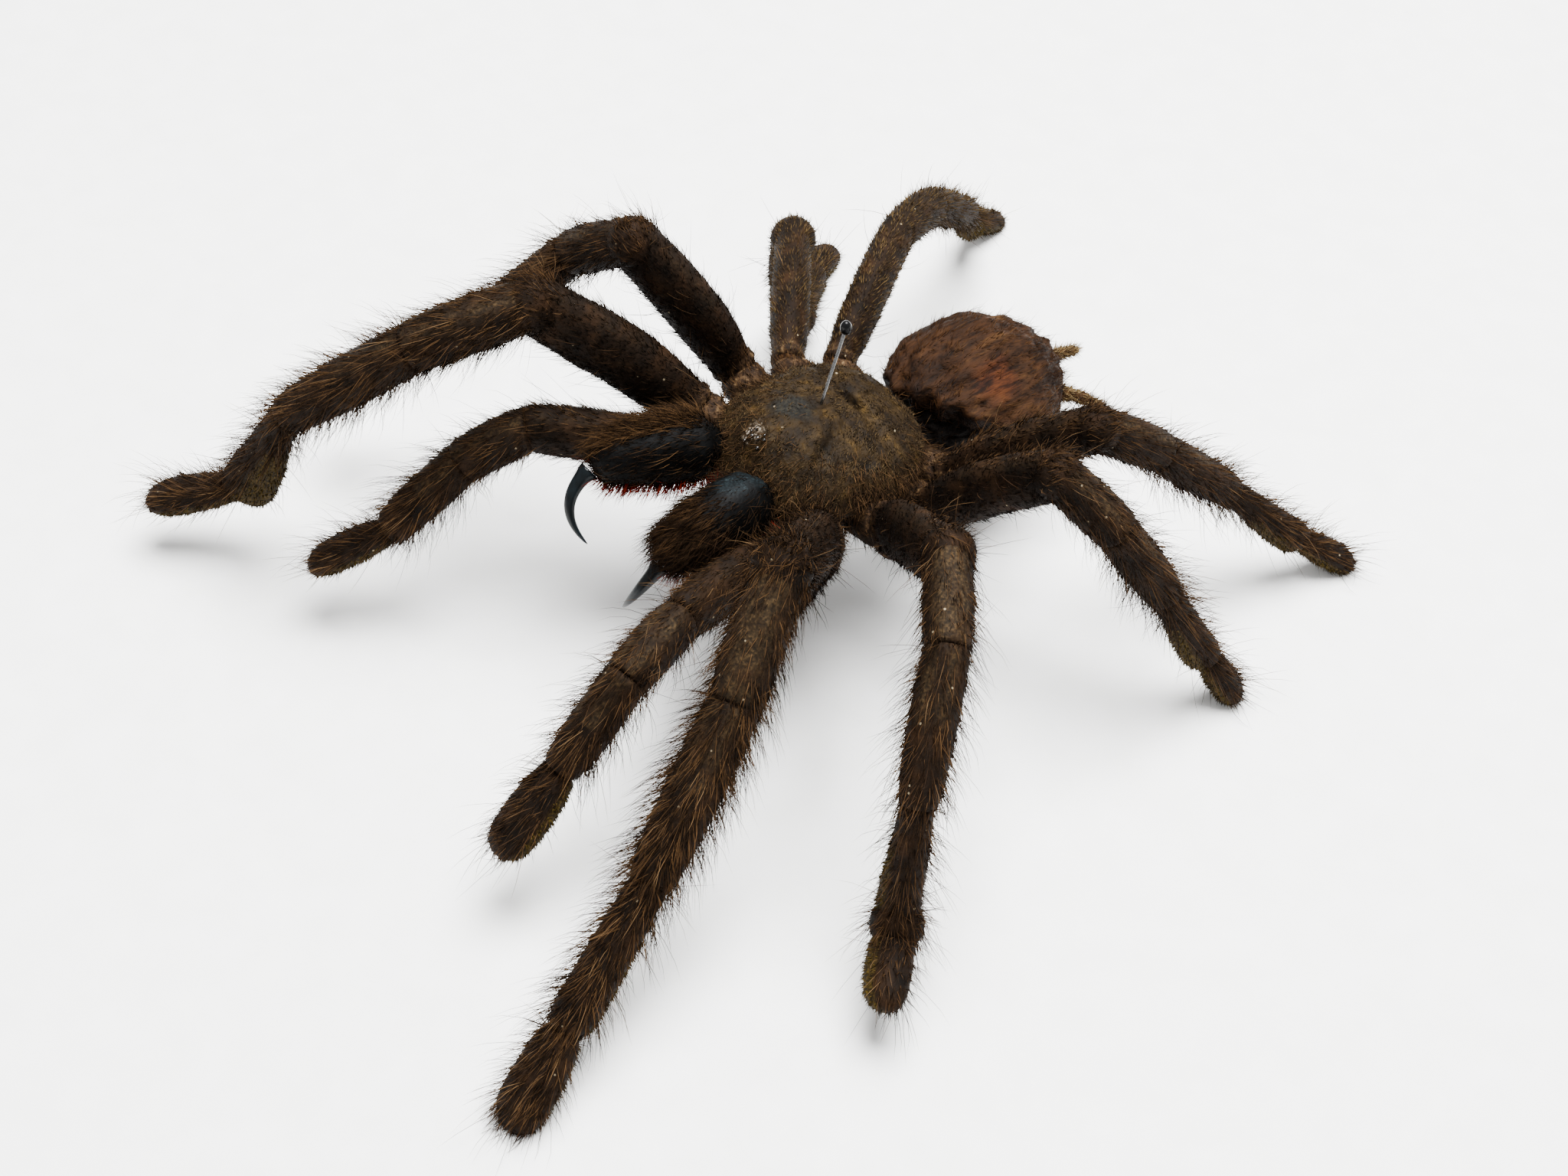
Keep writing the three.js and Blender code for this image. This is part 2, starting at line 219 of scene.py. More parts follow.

# %% [markdown]
# ## Worn spots and dust
# An old specimen is rubbed where it was handled, and it gathers dust. A worn spot is a ball round a point,
# its edge made ragged by noise, because a clean circle would look painted. The same spot also places
# painted shade in the fovea and a painted sheen on the jaws. Dust is a pale crumb in the middle of each
# cell of a
# Voronoi pattern.

# %% Worn spots and dust
def patch(tree, here, centre, radius):
    """1 inside a round patch with a ragged edge, sizes in mm."""
    middle = tuple(c * MM for c in centre)
    away = add(tree, "VectorMath", {0: here, 1: middle}, out="Value", operation="DISTANCE")
    ragged = add(tree, "TexNoise", {"Vector": here, "Scale": grain(radius * 0.7), "Detail": 4.0})
    edge = add(tree, "Math", {0: ragged, 1: radius * MM, 2: away}, operation="MULTIPLY_ADD")
    limits = {"Value": edge, "From Min": radius * 1.75 * MM, "From Max": radius * 1.15 * MM}
    return add(tree, "MapRange", limits, out="Result")


CRUMB_EDGE = (0.07, 0.04)  # where a crumb begins and where it is full, as shares of its cell


def dusted(tree, here, colour, spacing_mm):
    """Strews pale crumbs of dust over a colour, about one in each cell of the given size."""
    cell = add(tree, "TexVoronoi", {"Vector": here, "Scale": grain(spacing_mm)}, out="Distance")
    edge = {"Value": cell, "From Min": CRUMB_EDGE[0], "From Max": CRUMB_EDGE[1]}
    crumb = add(tree, "MapRange", edge, out="Result")
    mix = {FACTOR: crumb, UNDER: colour, OVER: linear("#766a55")}
    return add(tree, "Mix", mix, out=MIXED, data_type="RGBA")


print("a crumb in a cell of 2.6 mm is about", round(sum(CRUMB_EDGE) * 2.6, 2), "mm wide")

# %% [markdown]
# ## Horn of the limbs
# Dried cuticle is a dark brown horn, satin where it is bald. Dust and rubbing leave two greyer stripes
# along the top of the knee and shin, the skin at the hips dries tan and wrinkled, and under the feet grows
# an olive velvet pad that grips. The three are layers over one ground, and values that each shell carries
# say where they lie.

# %% Limb horn
# Cuticle: a brown ground with 3 mm clouds, and 0.4 mm pits that catch the light.
LIMB_HORN, t, s, here = start("dried_limb_cuticle", Roughness=0.7, Specular_IOR_Level=0.05)
clouds = add(t, "TexNoise", {"Vector": here, "Scale": grain(3.0), "Detail": 5.0})
pits = add(t, "TexNoise", {"Vector": here, "Scale": grain(0.4), "Detail": 4.0})
colour = add(t, "ValToRGB", {0: clouds}, stops=[(0.3, "#080503"), (0.52, "#140c06"), (0.72, "#22150a")])
rubbed = add(t, "ValToRGB", {0: pits}, stops=[(0.35, "#15100a"), (0.52, "#241b10"), (0.7, "#3a2d1c")])
# The tan skin's wrinkles are painted: pale tan on their crests, with painted shade in their valleys.
wrinkles = add(t, "TexNoise", {"Vector": here, "Scale": grain(0.9), "Detail": 5.0, "Roughness": 0.65})
folded = [(0.36, "#0d0805"), (0.5, "#22170e"), (0.6, "#3b2b1b"), (0.7, "#5c4a33")]
tan = add(t, "ValToRGB", {0: wrinkles}, stops=folded)
olive = add(t, "ValToRGB", {0: pits}, stops=[(0.35, "#120d05"), (0.52, "#251c0b"), (0.7, "#3b2f14")])
for name, layer in (("bald", rubbed), ("tan", tan), ("pad", olive)):
    share = add(t, "Attribute", out="Fac", attribute_name=name)
    colour = add(t, "Mix", {FACTOR: share, UNDER: colour, OVER: layer}, out=MIXED, data_type="RGBA")
cover(t, s, dusted(t, here, colour, 2.6), pits, 0.12)
print(LIMB_HORN.name, "has", len(t.nodes), "nodes")

# %% [markdown]
# ## Joint skin
# Between two hard pieces the cuticle is soft in life and wrinkles as it dries. Its colour is painted light
# and shade on its folds, pale tan on the crests and dark in the valleys, so one noise gives both that and
# the depth of the bump.

# %% Joint skin
JOINT_SKIN, t, s, here = start("dried_joint_skin", Roughness=0.75, Specular_IOR_Level=0.05)
folds = add(t, "TexNoise", {"Vector": here, "Scale": grain(0.7), "Detail": 6.0, "Roughness": 0.6})
colour = add(t, "ValToRGB", {0: folds}, stops=[(0.3, "#100804"), (0.52, "#28180b"), (0.72, "#523a1f")])
cover(t, s, colour, folds, 0.3)
print(JOINT_SKIN.name, "has", len(t.nodes), "nodes")

# %% [markdown]
# ## Hair
# Hair is cuticle drawn out thin, dark at the root and painted paler near the tip for the light that comes
# through there. One recipe serves every kind: a ramp of colour read from a number that each hair carries,
# pushed up and down in patches a few millimetres wide, so that the coat looks uneven without a texture of
# its own. The number is also lowered on skin that faces down, as painted shade.

# %% Hair colours
HAIR_RAMPS = {
    "limb_pile": [(0.0, "#080502"), (0.4, "#140c06"), (0.75, "#261a0f"), (1.0, "#45311d")],
    "black_pile": [(0.0, "#030201"), (0.6, "#0b0704"), (1.0, "#20140a")],
    "seta": [(0.0, "#0c0704"), (0.4, "#20150c"), (0.75, "#3d2b1b"), (1.0, "#624c33")],
    "olive_down": [(0.0, "#100b06"), (0.4, "#20170c"), (0.75, "#382b19"), (1.0, "#544328")],
    "carapace_velvet": [(0.0, "#080503"), (0.4, "#130d07"), (0.75, "#231a0f"), (1.0, "#403320")],
    "abdomen_coat": [(0.0, "#0a0502"), (0.4, "#180d06"), (0.75, "#2b190b"), (1.0, "#442d16")],
    "rusty_fringe": [(0.0, "#0b0603"), (0.4, "#1a1109"), (0.75, "#2d1f12"), (1.0, "#483420")],
    "red_mouth_fringe": [(0.0, "#240302"), (0.5, "#5c0e08"), (1.0, "#8a2a18")],
    "tan_tuft": [(0.0, "#1f160d"), (0.4, "#45361f"), (0.75, "#6c583a"), (1.0, "#8f7b58")],
    "scopula": [(0.0, "#100c05"), (0.5, "#251d0b"), (1.0, "#483a16")],
}
HAIR = {}
for name, stops in HAIR_RAMPS.items():
    made, t, s, here = start(name + "_hair", Roughness=0.75, Specular_IOR_Level=0.03)
    patches = add(t, "TexNoise", {"Vector": here, "Scale": grain(3.5), "Detail": 3.0})
    drift = add(t, "Math", {0: patches, 1: 0.7, 2: -0.35}, operation="MULTIPLY_ADD")
    own = add(t, "Attribute", out="Fac", attribute_name="tone")
    tone = add(t, "Math", {0: own, 1: drift}, operation="ADD", use_clamp=True)
    t.links.new(add(t, "ValToRGB", {0: tone}, stops=stops), s.inputs["Base Color"])
    HAIR[name] = made
print("kinds of hair:", len(HAIR))

# %% [markdown]
# ## Horn of the back shield
# The shield is the same horn as the limbs. Round the pin its velvet has rubbed off down to bluish grey, and
# the mound with the eyes is chalky with old dried fluid. The pit of the fovea is painted near black as
# shade.
# Each is a ragged round spot over the brown ground.

# %% Shield horn
PIT = (0.3, 7.9, 32.0)  # mm, the pit of the fovea, painted near black as shade
SHIELD_HORN, t, s, here = start("carapace_cuticle", Roughness=0.65, Specular_IOR_Level=0.06)
clouds = add(t, "TexNoise", {"Vector": here, "Scale": grain(2.4), "Detail": 6.0, "Roughness": 0.6})
pits = add(t, "TexNoise", {"Vector": here, "Scale": grain(0.45), "Detail": 5.0})
brown = [(0.28, "#080502"), (0.45, "#140d05"), (0.6, "#221809"), (0.74, "#3c2c12")]
colour = add(t, "ValToRGB", {0: clouds}, stops=brown)
blue = add(t, "ValToRGB", {0: pits}, stops=[(0.3, "#0a0908"), (0.5, "#141310"), (0.72, "#221f18")])
chalk = add(t, "ValToRGB", {0: pits}, stops=[(0.42, "#1a130b"), (0.54, "#50463a"), (0.64, "#a2988a")])
# The last spot is painted shade: the fovea's pit is made near black.
spots = (((-1.4, -0.2, 34.0), 2.7, blue), ((-1.5, -6.9, 34.6), 1.9, chalk), (PIT, 0.9, linear("#040302")))
for centre, radius, layer in spots:
    share = patch(t, here, centre, radius)
    colour = add(t, "Mix", {FACTOR: share, UNDER: colour, OVER: layer}, out=MIXED, data_type="RGBA")
cover(t, s, dusted(t, here, colour, 3.2), pits, 0.16)
print(SHIELD_HORN.name, "has", len(t.nodes), "nodes")

# %% [markdown]
# ## Skin of the belly
# The belly was a soft bag, and dried to red-brown leather with folds that run to the rear. It is orange
# where it is bald. It is made black in its folds and in the hollow under its torn edge by painted shade.
# The noise is stretched along the body to give long wrinkles, and multiplying by a ramp of the same noise
# paints shade into only their valleys.

# %% Belly skin
BALD_BELLY = (6.5, 27.6, 30.2)  # mm
BELLY_SKIN, t, s, here = start("dried_belly_skin", Roughness=0.68, Specular_IOR_Level=0.06)
stretched = add(t, "Mapping", {"Vector": here, "Scale": (1, 0.2, 1)})
clouds = add(t, "TexNoise", {"Vector": stretched, "Scale": grain(3.4), "Detail": 7.0, "Roughness": 0.65})
folds = add(t, "TexNoise", {"Vector": stretched, "Scale": grain(0.8), "Detail": 8.0, "Roughness": 0.65})
leather = [(0.3, "#0e0704"), (0.45, "#1d1007"), (0.57, "#2b190b"), (0.7, "#3f2a14")]
colour = add(t, "ValToRGB", {0: clouds}, stops=leather)
orange = add(t, "ValToRGB", {0: folds}, stops=[(0.3, "#200f06"), (0.5, "#311708"), (0.72, "#40230e")])
bald = patch(t, here, BALD_BELLY, 3.4)
colour = add(t, "Mix", {FACTOR: bald, UNDER: colour, OVER: orange}, out=MIXED, data_type="RGBA")
# Painted shade: the valleys of the folds are darkened by multiplying the colour by this ramp.
shade = add(t, "ValToRGB", {0: folds}, stops=[(0.36, "#4c433a"), (0.54, "#ffffff")])
shaded = {FACTOR: 0.8, UNDER: colour, OVER: shade}
colour = add(t, "Mix", shaded, out=MIXED, data_type="RGBA", blend_type="MULTIPLY")
# Painted shade: the hollow under the torn edge is made near black.
hollow_shade = add(t, "Attribute", out="Fac", attribute_name="hollow_shade")
colour = add(t, "Mix", {FACTOR: hollow_shade, UNDER: colour, OVER: linear("#050302")}, out=MIXED, data_type="RGBA")
cover(t, s, colour, folds, 0.35)
print(BELLY_SKIN.name, "has", len(t.nodes), "nodes")

# %% [markdown]
# ## Horn of the jaws and fangs
# The jaws are thick black cuticle, with a cold satin sheen where they are rubbed bare that is painted into
# the colour as a bluish grey. A fang is solid horn that grew in layers and polished itself, so it is
# smoother, and blue-black.

# %% Jaw horn
BALD_AND_SHEEN_JAW = (((3.6, -10.0, 32.4), 2.4), ((4.2, -13.6, 32.8), 2.0))  # rubbed bare spots on the left jaw, where a bluish sheen is painted, in mm
JAW_HORN, t, s, here = start("jaw_black_cuticle", Roughness=0.55, Specular_IOR_Level=0.04)
clouds = add(t, "TexNoise", {"Vector": here, "Scale": grain(2.2), "Detail": 6.0})
pits = add(t, "TexNoise", {"Vector": here, "Scale": grain(0.3), "Detail": 4.0})
colour = add(t, "ValToRGB", {0: clouds}, stops=[(0.35, "#020202"), (0.6, "#050505"), (0.8, "#0b0c0c")])
painted_sheen = add(t, "ValToRGB", {0: pits}, stops=[(0.35, "#07090a"), (0.6, "#101517"), (0.75, "#1f2729")])
for centre, radius in BALD_AND_SHEEN_JAW:
    share = patch(t, here, centre, radius)
    colour = add(t, "Mix", {FACTOR: share, UNDER: colour, OVER: painted_sheen}, out=MIXED, data_type="RGBA")
cover(t, s, colour, pits, 0.05)
print(JAW_HORN.name, "has", len(t.nodes), "nodes")

# %% Fang horn
FANG_HORN, t, s, here = start("fang_polished_horn", Roughness=0.28, Specular_IOR_Level=0.16)
clouds = add(t, "TexNoise", {"Vector": here, "Scale": grain(2.0), "Detail": 3.0})
grown = add(t, "TexNoise", {"Vector": here, "Scale": grain(0.4), "Detail": 2.0})
cover(t, s, add(t, "ValToRGB", {0: clouds}, stops=[(0.35, "#040607"), (0.7, "#0b1114")]), grown, 0.012)
print(FANG_HORN.name, "has", len(t.nodes), "nodes")

# %% [markdown]
# ## Pin and eyes
# The pin's wire is drawn bare steel, which mirrors the white room above and the dark body below, so it
# needs hardly any colour of its own. Its head is a ball of enamel, fired as smooth as glass. The eyes are
# clear domes over a dark ground, and a coat gives them their point of light.

# %% Pin enamel
PIN_ENAMEL, t, s, here = start("pin_black_enamel", Roughness=0.25, Specular_IOR_Level=0.12)
clouds = add(t, "TexNoise", {"Vector": here, "Scale": grain(1.2)})
cover(t, s, add(t, "ValToRGB", {0: clouds}, stops=[(0.3, "#040404"), (0.7, "#0c0c0e")]), clouds, 0.01)
print(PIN_ENAMEL.name, "has", len(t.nodes), "nodes")

# %% Pin steel
PIN_WIRE, t, s, here = start("pin_bare_steel", Metallic=1.0, Roughness=0.22)
drawn = add(t, "TexNoise", {"Vector": here, "Scale": grain(0.3)})
cover(t, s, add(t, "ValToRGB", {0: drawn}, stops=[(0.3, "#6f6f70"), (0.7, "#8f8f8e")]), drawn, 0.004)
print(PIN_WIRE.name, "has", len(t.nodes), "nodes")

# %% Eye lens
EYE_LENS, t, s, here = start("eye_lens", Roughness=0.08, Coat_Weight=1.0)
clouds = add(t, "TexNoise", {"Vector": here, "Scale": grain(0.5)})
cover(t, s, add(t, "ValToRGB", {0: clouds}, stops=[(0.3, "#040508"), (0.7, "#15110d")]), clouds, 0.004)
print("materials:", len(bpy.data.materials))

# %% [markdown]
# ## Drawing out a tube
# A leg is a tube that swells, narrows and bends, so it is drawn the way a potter pulls a spout: a ring of
# edges is extruded again and again, and after each pull every point is told where it goes by its place
# round the ring. Both ends are closed and poked to a middle point.

# %% Drawing out a tube
def loft(bm, rings, spokes=24, paint=()):
    """Extrudes a ring through pairs of functions of an angle: its place, and its values of paint."""
    layers = {name: bm.verts.layers.float.get(name) or bm.verts.layers.float.new(name) for name in paint}
    spoke = bm.verts.layers.int.get("spoke") or bm.verts.layers.int.new("spoke")
    ring = bmesh.ops.create_circle(bm, cap_ends=False, radius=1.0, segments=spokes)["verts"]
    for i, v in enumerate(ring):
        v[spoke] = i
    edges = list(dict.fromkeys(e for v in ring for e in v.link_edges))  # each edge once, in a fixed order
    ends = [edges]
    for k, (place, values) in enumerate(rings):
        if k:
            pulled = bmesh.ops.extrude_edge_only(bm, edges=edges)["geom"]
            ring = [g for g in pulled if isinstance(g, bmesh.types.BMVert)]
            fresh = set(ring)
            edges = [g for g in pulled if isinstance(g, bmesh.types.BMEdge) and set(g.verts) <= fresh]
        for v in ring:
            angle = 2 * math.pi * v[spoke] / spokes
            v.co = place(angle)
            for name, value in zip(paint, values(angle) if values else ()):
                v[layers[name]] = value
    ends.append(edges)
    caps = [f for e in ends for f in bmesh.ops.contextual_create(bm, geom=e)["faces"]]
    bmesh.ops.poke(bm, faces=caps)


def round_ring(centre, side, up, radius, flat=1.0):
    """An unpainted ring for loft. flat is its width as a share of its height."""
    return lambda a: centre + side * math.cos(a) * radius * flat + up * math.sin(a) * radius, None


def axes_of(start, end):
    """Unit vectors along a piece, to its side, and upwards across it."""
    along = (end - start).normalized()
    side = along.cross(UP).normalized()
    return along, side, side.cross(along).normalized()


ahead_axes = axes_of(Vector((0, 0, 0)), Vector((0, -1, 0)))
print("axes of a piece that points ahead:", [tuple(v) for v in ahead_axes])

# %% [markdown]
# ## Settling a piece
# A finished bmesh becomes a smooth object that sits at the origin, unturned, and rides on the part's only
# body. Its normals are recalculated, because a ring that was pulled backwards can turn a tube inside out.

# %% Settling a piece
def settle(name, bm, finish, replaces=()):
    """Turns a bmesh into a smooth object at the origin that rides on the frame."""
    bmesh.ops.recalc_face_normals(bm, faces=bm.faces)
    mesh = bpy.data.meshes.new(name)
    bm.to_mesh(mesh)
    bm.free()
    mesh.materials.append(finish)
    mesh.shade_smooth()
    made = bpy.data.objects.new(name, mesh)
    bpy.context.scene.collection.objects.link(made)
    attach(made, "root")
    if replaces:
        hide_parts(*replaces)
    return made


def fresh_ball(bm, around, rows, radius):
    """Adds a ball to a bmesh and gives back its points."""
    return bmesh.ops.create_uvsphere(bm, u_segments=around, v_segments=rows, radius=radius)["verts"]


bm = bmesh.new()
print("a ball of 24 by 16 has", len(fresh_ball(bm, 24, 16, 1.0)), "points")
bm.free()

# %% [markdown]
# ## Shapes of the limb pieces
# A thigh is deeper than it is wide, a shin is round, and a foot is flat. Each piece's girth follows shares
# of its length, narrow at the ankle and full at the knee. The few limbs that dried oddly are listed by
# name.

# %% Shapes of the limb pieces
# Half width and half height of each piece, in mm, and a factor for each pair of limbs.
GIRTH = {
    "femur": (2.8, 3.8),
    "patella": (2.9, 3.1),
    "tibia": (2.85, 2.9),
    "metatarsus": (2.3, 2.2),
    "tarsus": (2.5, 1.75),
}
STOUT = {"palp": 1.0, "1": 1.16, "2": 1.0, "3": 0.98, "4": 0.93}
# Places along a piece, as shares of its length, and the share of its girth there.
PROFILE = {
    "femur": (
        (0, 0.03, 0.07, 0.12, 0.22, 0.4, 0.65, 0.85, 0.96, 1),
        (0.84, 0.88, 0.76, 0.82, 0.93, 1, 1, 0.96, 0.92, 0.86),
    ),
    "patella": ((0, 0.06, 0.25, 0.55, 0.8, 0.94, 1), (0.9, 0.96, 1, 1.02, 1, 0.97, 0.92)),
    "tibia": ((0, 0.05, 0.25, 0.5, 0.78, 0.94, 1), (0.93, 0.97, 1, 1, 0.94, 0.84, 0.74)),
    "metatarsus": ((0, 0.06, 0.25, 0.6, 0.85, 0.95, 1), (0.82, 0.88, 0.95, 1, 1.02, 0.9, 0.66)),
    "tarsus": ((0, 0.07, 0.25, 0.55, 0.8, 0.93, 1), (0.62, 0.8, 0.95, 1.02, 0.98, 0.76, 0.36)),
}
BOW = {"femur": 0.03, "patella": 0.02, "tibia": 0.0, "metatarsus": -0.01, "tarsus": 0.02}
DEEP_FEMUR = {"leg_left_1": 1.3, "leg_left_2": 1.25}  # these two dried with a swollen thigh
WIDE_TARSUS = {"palp_left": 1.2, "palp_right": 1.05, "leg_left_1": 1.1}
DOWNY = ("leg_right_3", "leg_right_4")  # these two kept only a short even down
BALD_TOP = ("leg_left_1", "leg_left_2")  # the hair is gone from the whole top of these two knees
# How far a pad swells below its piece, as a share of the piece's half height.
FULL_PAD = {"leg_right_1": 1.0}
METATARSUS_PAD, TARSUS_PAD = 0.4, 0.35
PAD_TURN = {"leg_left_2": 65, "palp_left": -35}  # feet that dried twisted, in degrees
BALD_STRETCH = {"femur": (0.45, 0.95), "patella": (0.02, 0.97), "tibia": (0.02, 0.5)}
NOWHERE = (2, 3)  # a stretch past the end of any piece
PAINT = ("bald", "pad", "tan")
print("thickest shin:", round(2 * GIRTH["tibia"][0] * STOUT["1"], 1), "mm wide")

# %% [markdown]
# ## Where a limb is worn or padded
# The shells carry three values for the horn material. Wear lies in two stripes along the top, where a hand
# would touch. The tan skin shows at the hip and as a thin line at each joint. The pads swell out under the
# last two pieces.

# %% Where a limb is worn or padded
def pad_share(kind, t):
    """How full the pad under a piece is at a share t of its length."""
    if kind == "metatarsus":
        return float(np.interp(t, (0.25, 0.6, 0.9, 1), (0, 0.7, 1, 0.3)))
    return math.sin(math.pi * min(1, 0.15 + 0.8 * t)) if kind == "tarsus" else 0.0


def bald_share(limb, kind, degrees, t, rough):
    """How bald a piece is, from its angle (90 is the top) and its place."""
    stripes = sum(math.exp(-(((degrees - at) / 15) ** 2)) for at in (62, 118))
    if limb in BALD_TOP and kind == "patella":
        stripes = math.exp(-(((degrees - 95) / 50) ** 4))
    stripes *= 0.3 if limb in DOWNY else 1.0
    first, last = BALD_STRETCH.get(kind, NOWHERE)
    ragged = min(1.0, max(0.0, 0.9 + 1.4 * rough))
    return stripes * (first < t < last) * (0.25 if kind == "femur" else 1.0) * ragged


def tan_share(kind, t, rough):
    """How much tan skin shows: much of it at the hip, and a thin line at the other joints."""
    skin = 0.95 if kind == "femur" and t < 0.09 else 0.25 * (t < 0.035 or t > 0.975)
    return skin * max(0.0, 0.8 + 0.8 * rough)


print("pad at the ball of a foot:", round(pad_share("tarsus", 0.45), 2))

# %% [markdown]
# ## Limb shells
# The rings near a joint lean into its mitre, so that two pieces meet in one plane as pipes do at an elbow,
# and a ball rounds a knee that bends sharply. Noise dents the horn, and no point goes below the floor.

# %% One piece of a limb
MITRE_REACH = 3.4  # mm from a joint within which rings lean
FLOOR_GAP = 0.05  # mm, the lowest that horn goes


def shell_rings(limb, i, count=34):
    """The rings of one piece of a limb, each with its values of bald, pad and tan."""
    points, kind = JOINTS[limb], LIMBS[limb][i]
    begin, end = points[i], points[i + 1]
    along, side, up = axes_of(begin, end)
    length = (end - begin).length
    before = (begin - points[i - 1]).normalized() if i else along
    after = (points[i + 2] - end).normalized() if i + 2 < len(points) else along
    wide, high = (g * STOUT[pair_of(limb)] * MM for g in GIRTH[kind])
    deep = DEEP_FEMUR.get(limb, 1.0) if kind == "femur" else 1.0
    wide *= WIDE_TARSUS.get(limb, 1.0) if kind == "tarsus" else 1.0
    sole = math.radians(-90 + PAD_TURN.get(limb, 0))
    swollen = FULL_PAD.get(limb, METATARSUS_PAD) if kind == "metatarsus" else TARSUS_PAD
    seed = 7.1 * list(POSE).index(limb) + 1.9 * i
    rings = []
    for t in np.linspace(0, 1, count).tolist():
        g = float(np.interp(t, *PROFILE[kind]))
        lean = ((before if t < 0.5 else after) + along * 1.5).normalized()
        pull = max(0.0, 1 - min(t, 1 - t) * length / (MITRE_REACH * MM))
        plane = along.lerp(lean, pull).normalized()
        sag = (deep - 1) * high * float(np.interp(t, (0.3, 0.75, 0.95, 1), (0, 1.3, 1, 0.4)))
        bow = math.sin(math.pi * t) * BOW[kind] * length
        centre = begin + along * (1.016 * t - 0.008) * length + up * (bow - sag)
        padded = pad_share(kind, t)

        def place(a, t=t, g=g, plane=plane, centre=centre, padded=padded):
            spin = Vector((2.0 * math.cos(a), 2.0 * math.sin(a), t * length / (6 * MM) + seed))
            dent = 1 + 0.06 * noise.noise(spin)
            below = max(0.0, math.cos(a - sole)) ** 0.8 * padded * swollen
            off = (side * math.cos(a) * wide + up * math.sin(a) * high * (1 + (deep - 1) * 0.6)) * g * dent
            off += (side * math.cos(sole) + up * math.sin(sole)) * high * below
            off -= along * (off.dot(plane) / along.dot(plane))
            spot = centre + off
            return Vector((spot.x, spot.y, max(spot.z, FLOOR_GAP * MM)))

        def values(a, t=t, padded=padded):
            spin = Vector((3 * math.cos(a), 3 * math.sin(a), t * length / (2 * MM) + seed))
            rough = noise.noise(spin)
            pad = float(padded > 0.15 and math.cos(a - sole) > 0.25)
            return bald_share(limb, kind, math.degrees(a), t, rough), pad, tan_share(kind, t, rough)

        rings.append((place, values))
    return rings


print("rings in a thigh:", len(shell_rings("leg_left_1", 0)))

# %% Limb shells
SHARP_KNEE = math.radians(50)
KNEE_RADIUS = 3.25  # mm

shells = {}
for limb, segments in LIMBS.items():
    bm = bmesh.new()
    for i in range(len(segments)):
        loft(bm, shell_rings(limb, i), paint=PAINT)
    for before, knee, after in zip(JOINTS[limb], JOINTS[limb][1:], JOINTS[limb][2:]):
        if (knee - before).angle(after - knee) > SHARP_KNEE:
            cap = fresh_ball(bm, 28, 18, KNEE_RADIUS * STOUT[pair_of(limb)] * MM)
            bmesh.ops.translate(bm, vec=knee, verts=cap)
    bmesh.ops.smooth_vert(bm, verts=bm.verts, factor=0.3, use_axis_x=True, use_axis_y=True, use_axis_z=True)
    shells[limb] = settle(f"{limb}_shell", bm, LIMB_HORN, [f"{limb}_{s}" for s in segments])
print("limb shells:", sum(len(o.data.polygons) for o in shells.values()), "faces")

# %% [markdown]
# ## Joint skins
# Between two pieces lies a soft ring of skin that lets the limb bend. It shows as a tan ball pressed into
# the gap, so a ball is flattened along the limb, turned to it and moved to the joint.

# %% Joint skins
HALF_THICKNESS = 1.3  # mm, along the limb
TUCKED = 0.92  # of the shell's own girth at that end

for limb, segments in LIMBS.items():
    bm = bmesh.new()
    for i, segment in enumerate(segments):
        root_girth = PROFILE[segment][1][0]
        wide, high = (g * STOUT[pair_of(limb)] * MM * root_girth * TUCKED for g in GIRTH[segment])
        fresh = fresh_ball(bm, 24, 16, 1.0)
        along, side, up = axes_of(JOINTS[limb][i], JOINTS[limb][i + 1])
        bmesh.ops.scale(bm, vec=(wide, HALF_THICKNESS * MM, min(high, wide * 1.2)), verts=fresh)
        bmesh.ops.rotate(bm, cent=(0, 0, 0), matrix=Matrix((side, along, up)).transposed(), verts=fresh)
        bmesh.ops.translate(bm, vec=JOINTS[limb][i], verts=fresh)
    skin = settle(f"{limb}_joint_skin", bm, JOINT_SKIN)
print("faces of the last joint skin:", len(skin.data.polygons))

# %% [markdown]
# ## Claws
# At the tip of each foot two hooked claws stick out of the hair. Each is a thin tube that bends down and
# tapers.

# %% Claws
CLAW_RINGS = 8

bm = bmesh.new()
for limb in LIMBS:
    along, side, up = axes_of(JOINTS[limb][-2], JOINTS[limb][-1])
    for way in (-1, 1):
        base = JOINTS[limb][-1] - along * 0.5 * MM + side * way * 0.4 * MM + up * 0.3 * MM
        rings = []
        for k in range(CLAW_RINGS):
            s = k / (CLAW_RINGS - 1)
            centre = base + along * 1.5 * s * MM - up * 0.8 * s * s * MM + side * way * 0.15 * s * MM
            centre.z = max(centre.z, 0.25 * MM)
            rings.append(round_ring(centre, side, up, 0.17 * (1 - 0.9 * s) * MM))
        loft(bm, rings, spokes=8)
claws = settle("claws", bm, FANG_HORN)
print("claws:", len(claws.data.polygons), "faces")

# %% [markdown]
# ## Carapace
# The back shield starts as a ball pressed into an egg-shaped plate. Its top is then sunk along the grooves
# that run out from the fovea, the pit in its middle, and raised into the mound that carries the eyes. A
# ball is a good start, because each of its points already has a place in plan and a height.

# %% Shape of the carapace
SHIELD_OUT, SHIELD_BACK = 0.9, -0.4  # mm, its middle in the body's frame
HALF_WIDTH, FRONT, REAR = 12.0, 14.9, 12.3  # mm, from its middle
FOVEA_Y = 3.6  # mm, where the grooves meet


def bell(x, y, cx, cy, wx, wy):
    """A smooth bump of height 1 round a point."""
    return math.exp(-(((x - cx) / wx) ** 2) - ((y - cy) / wy) ** 2)


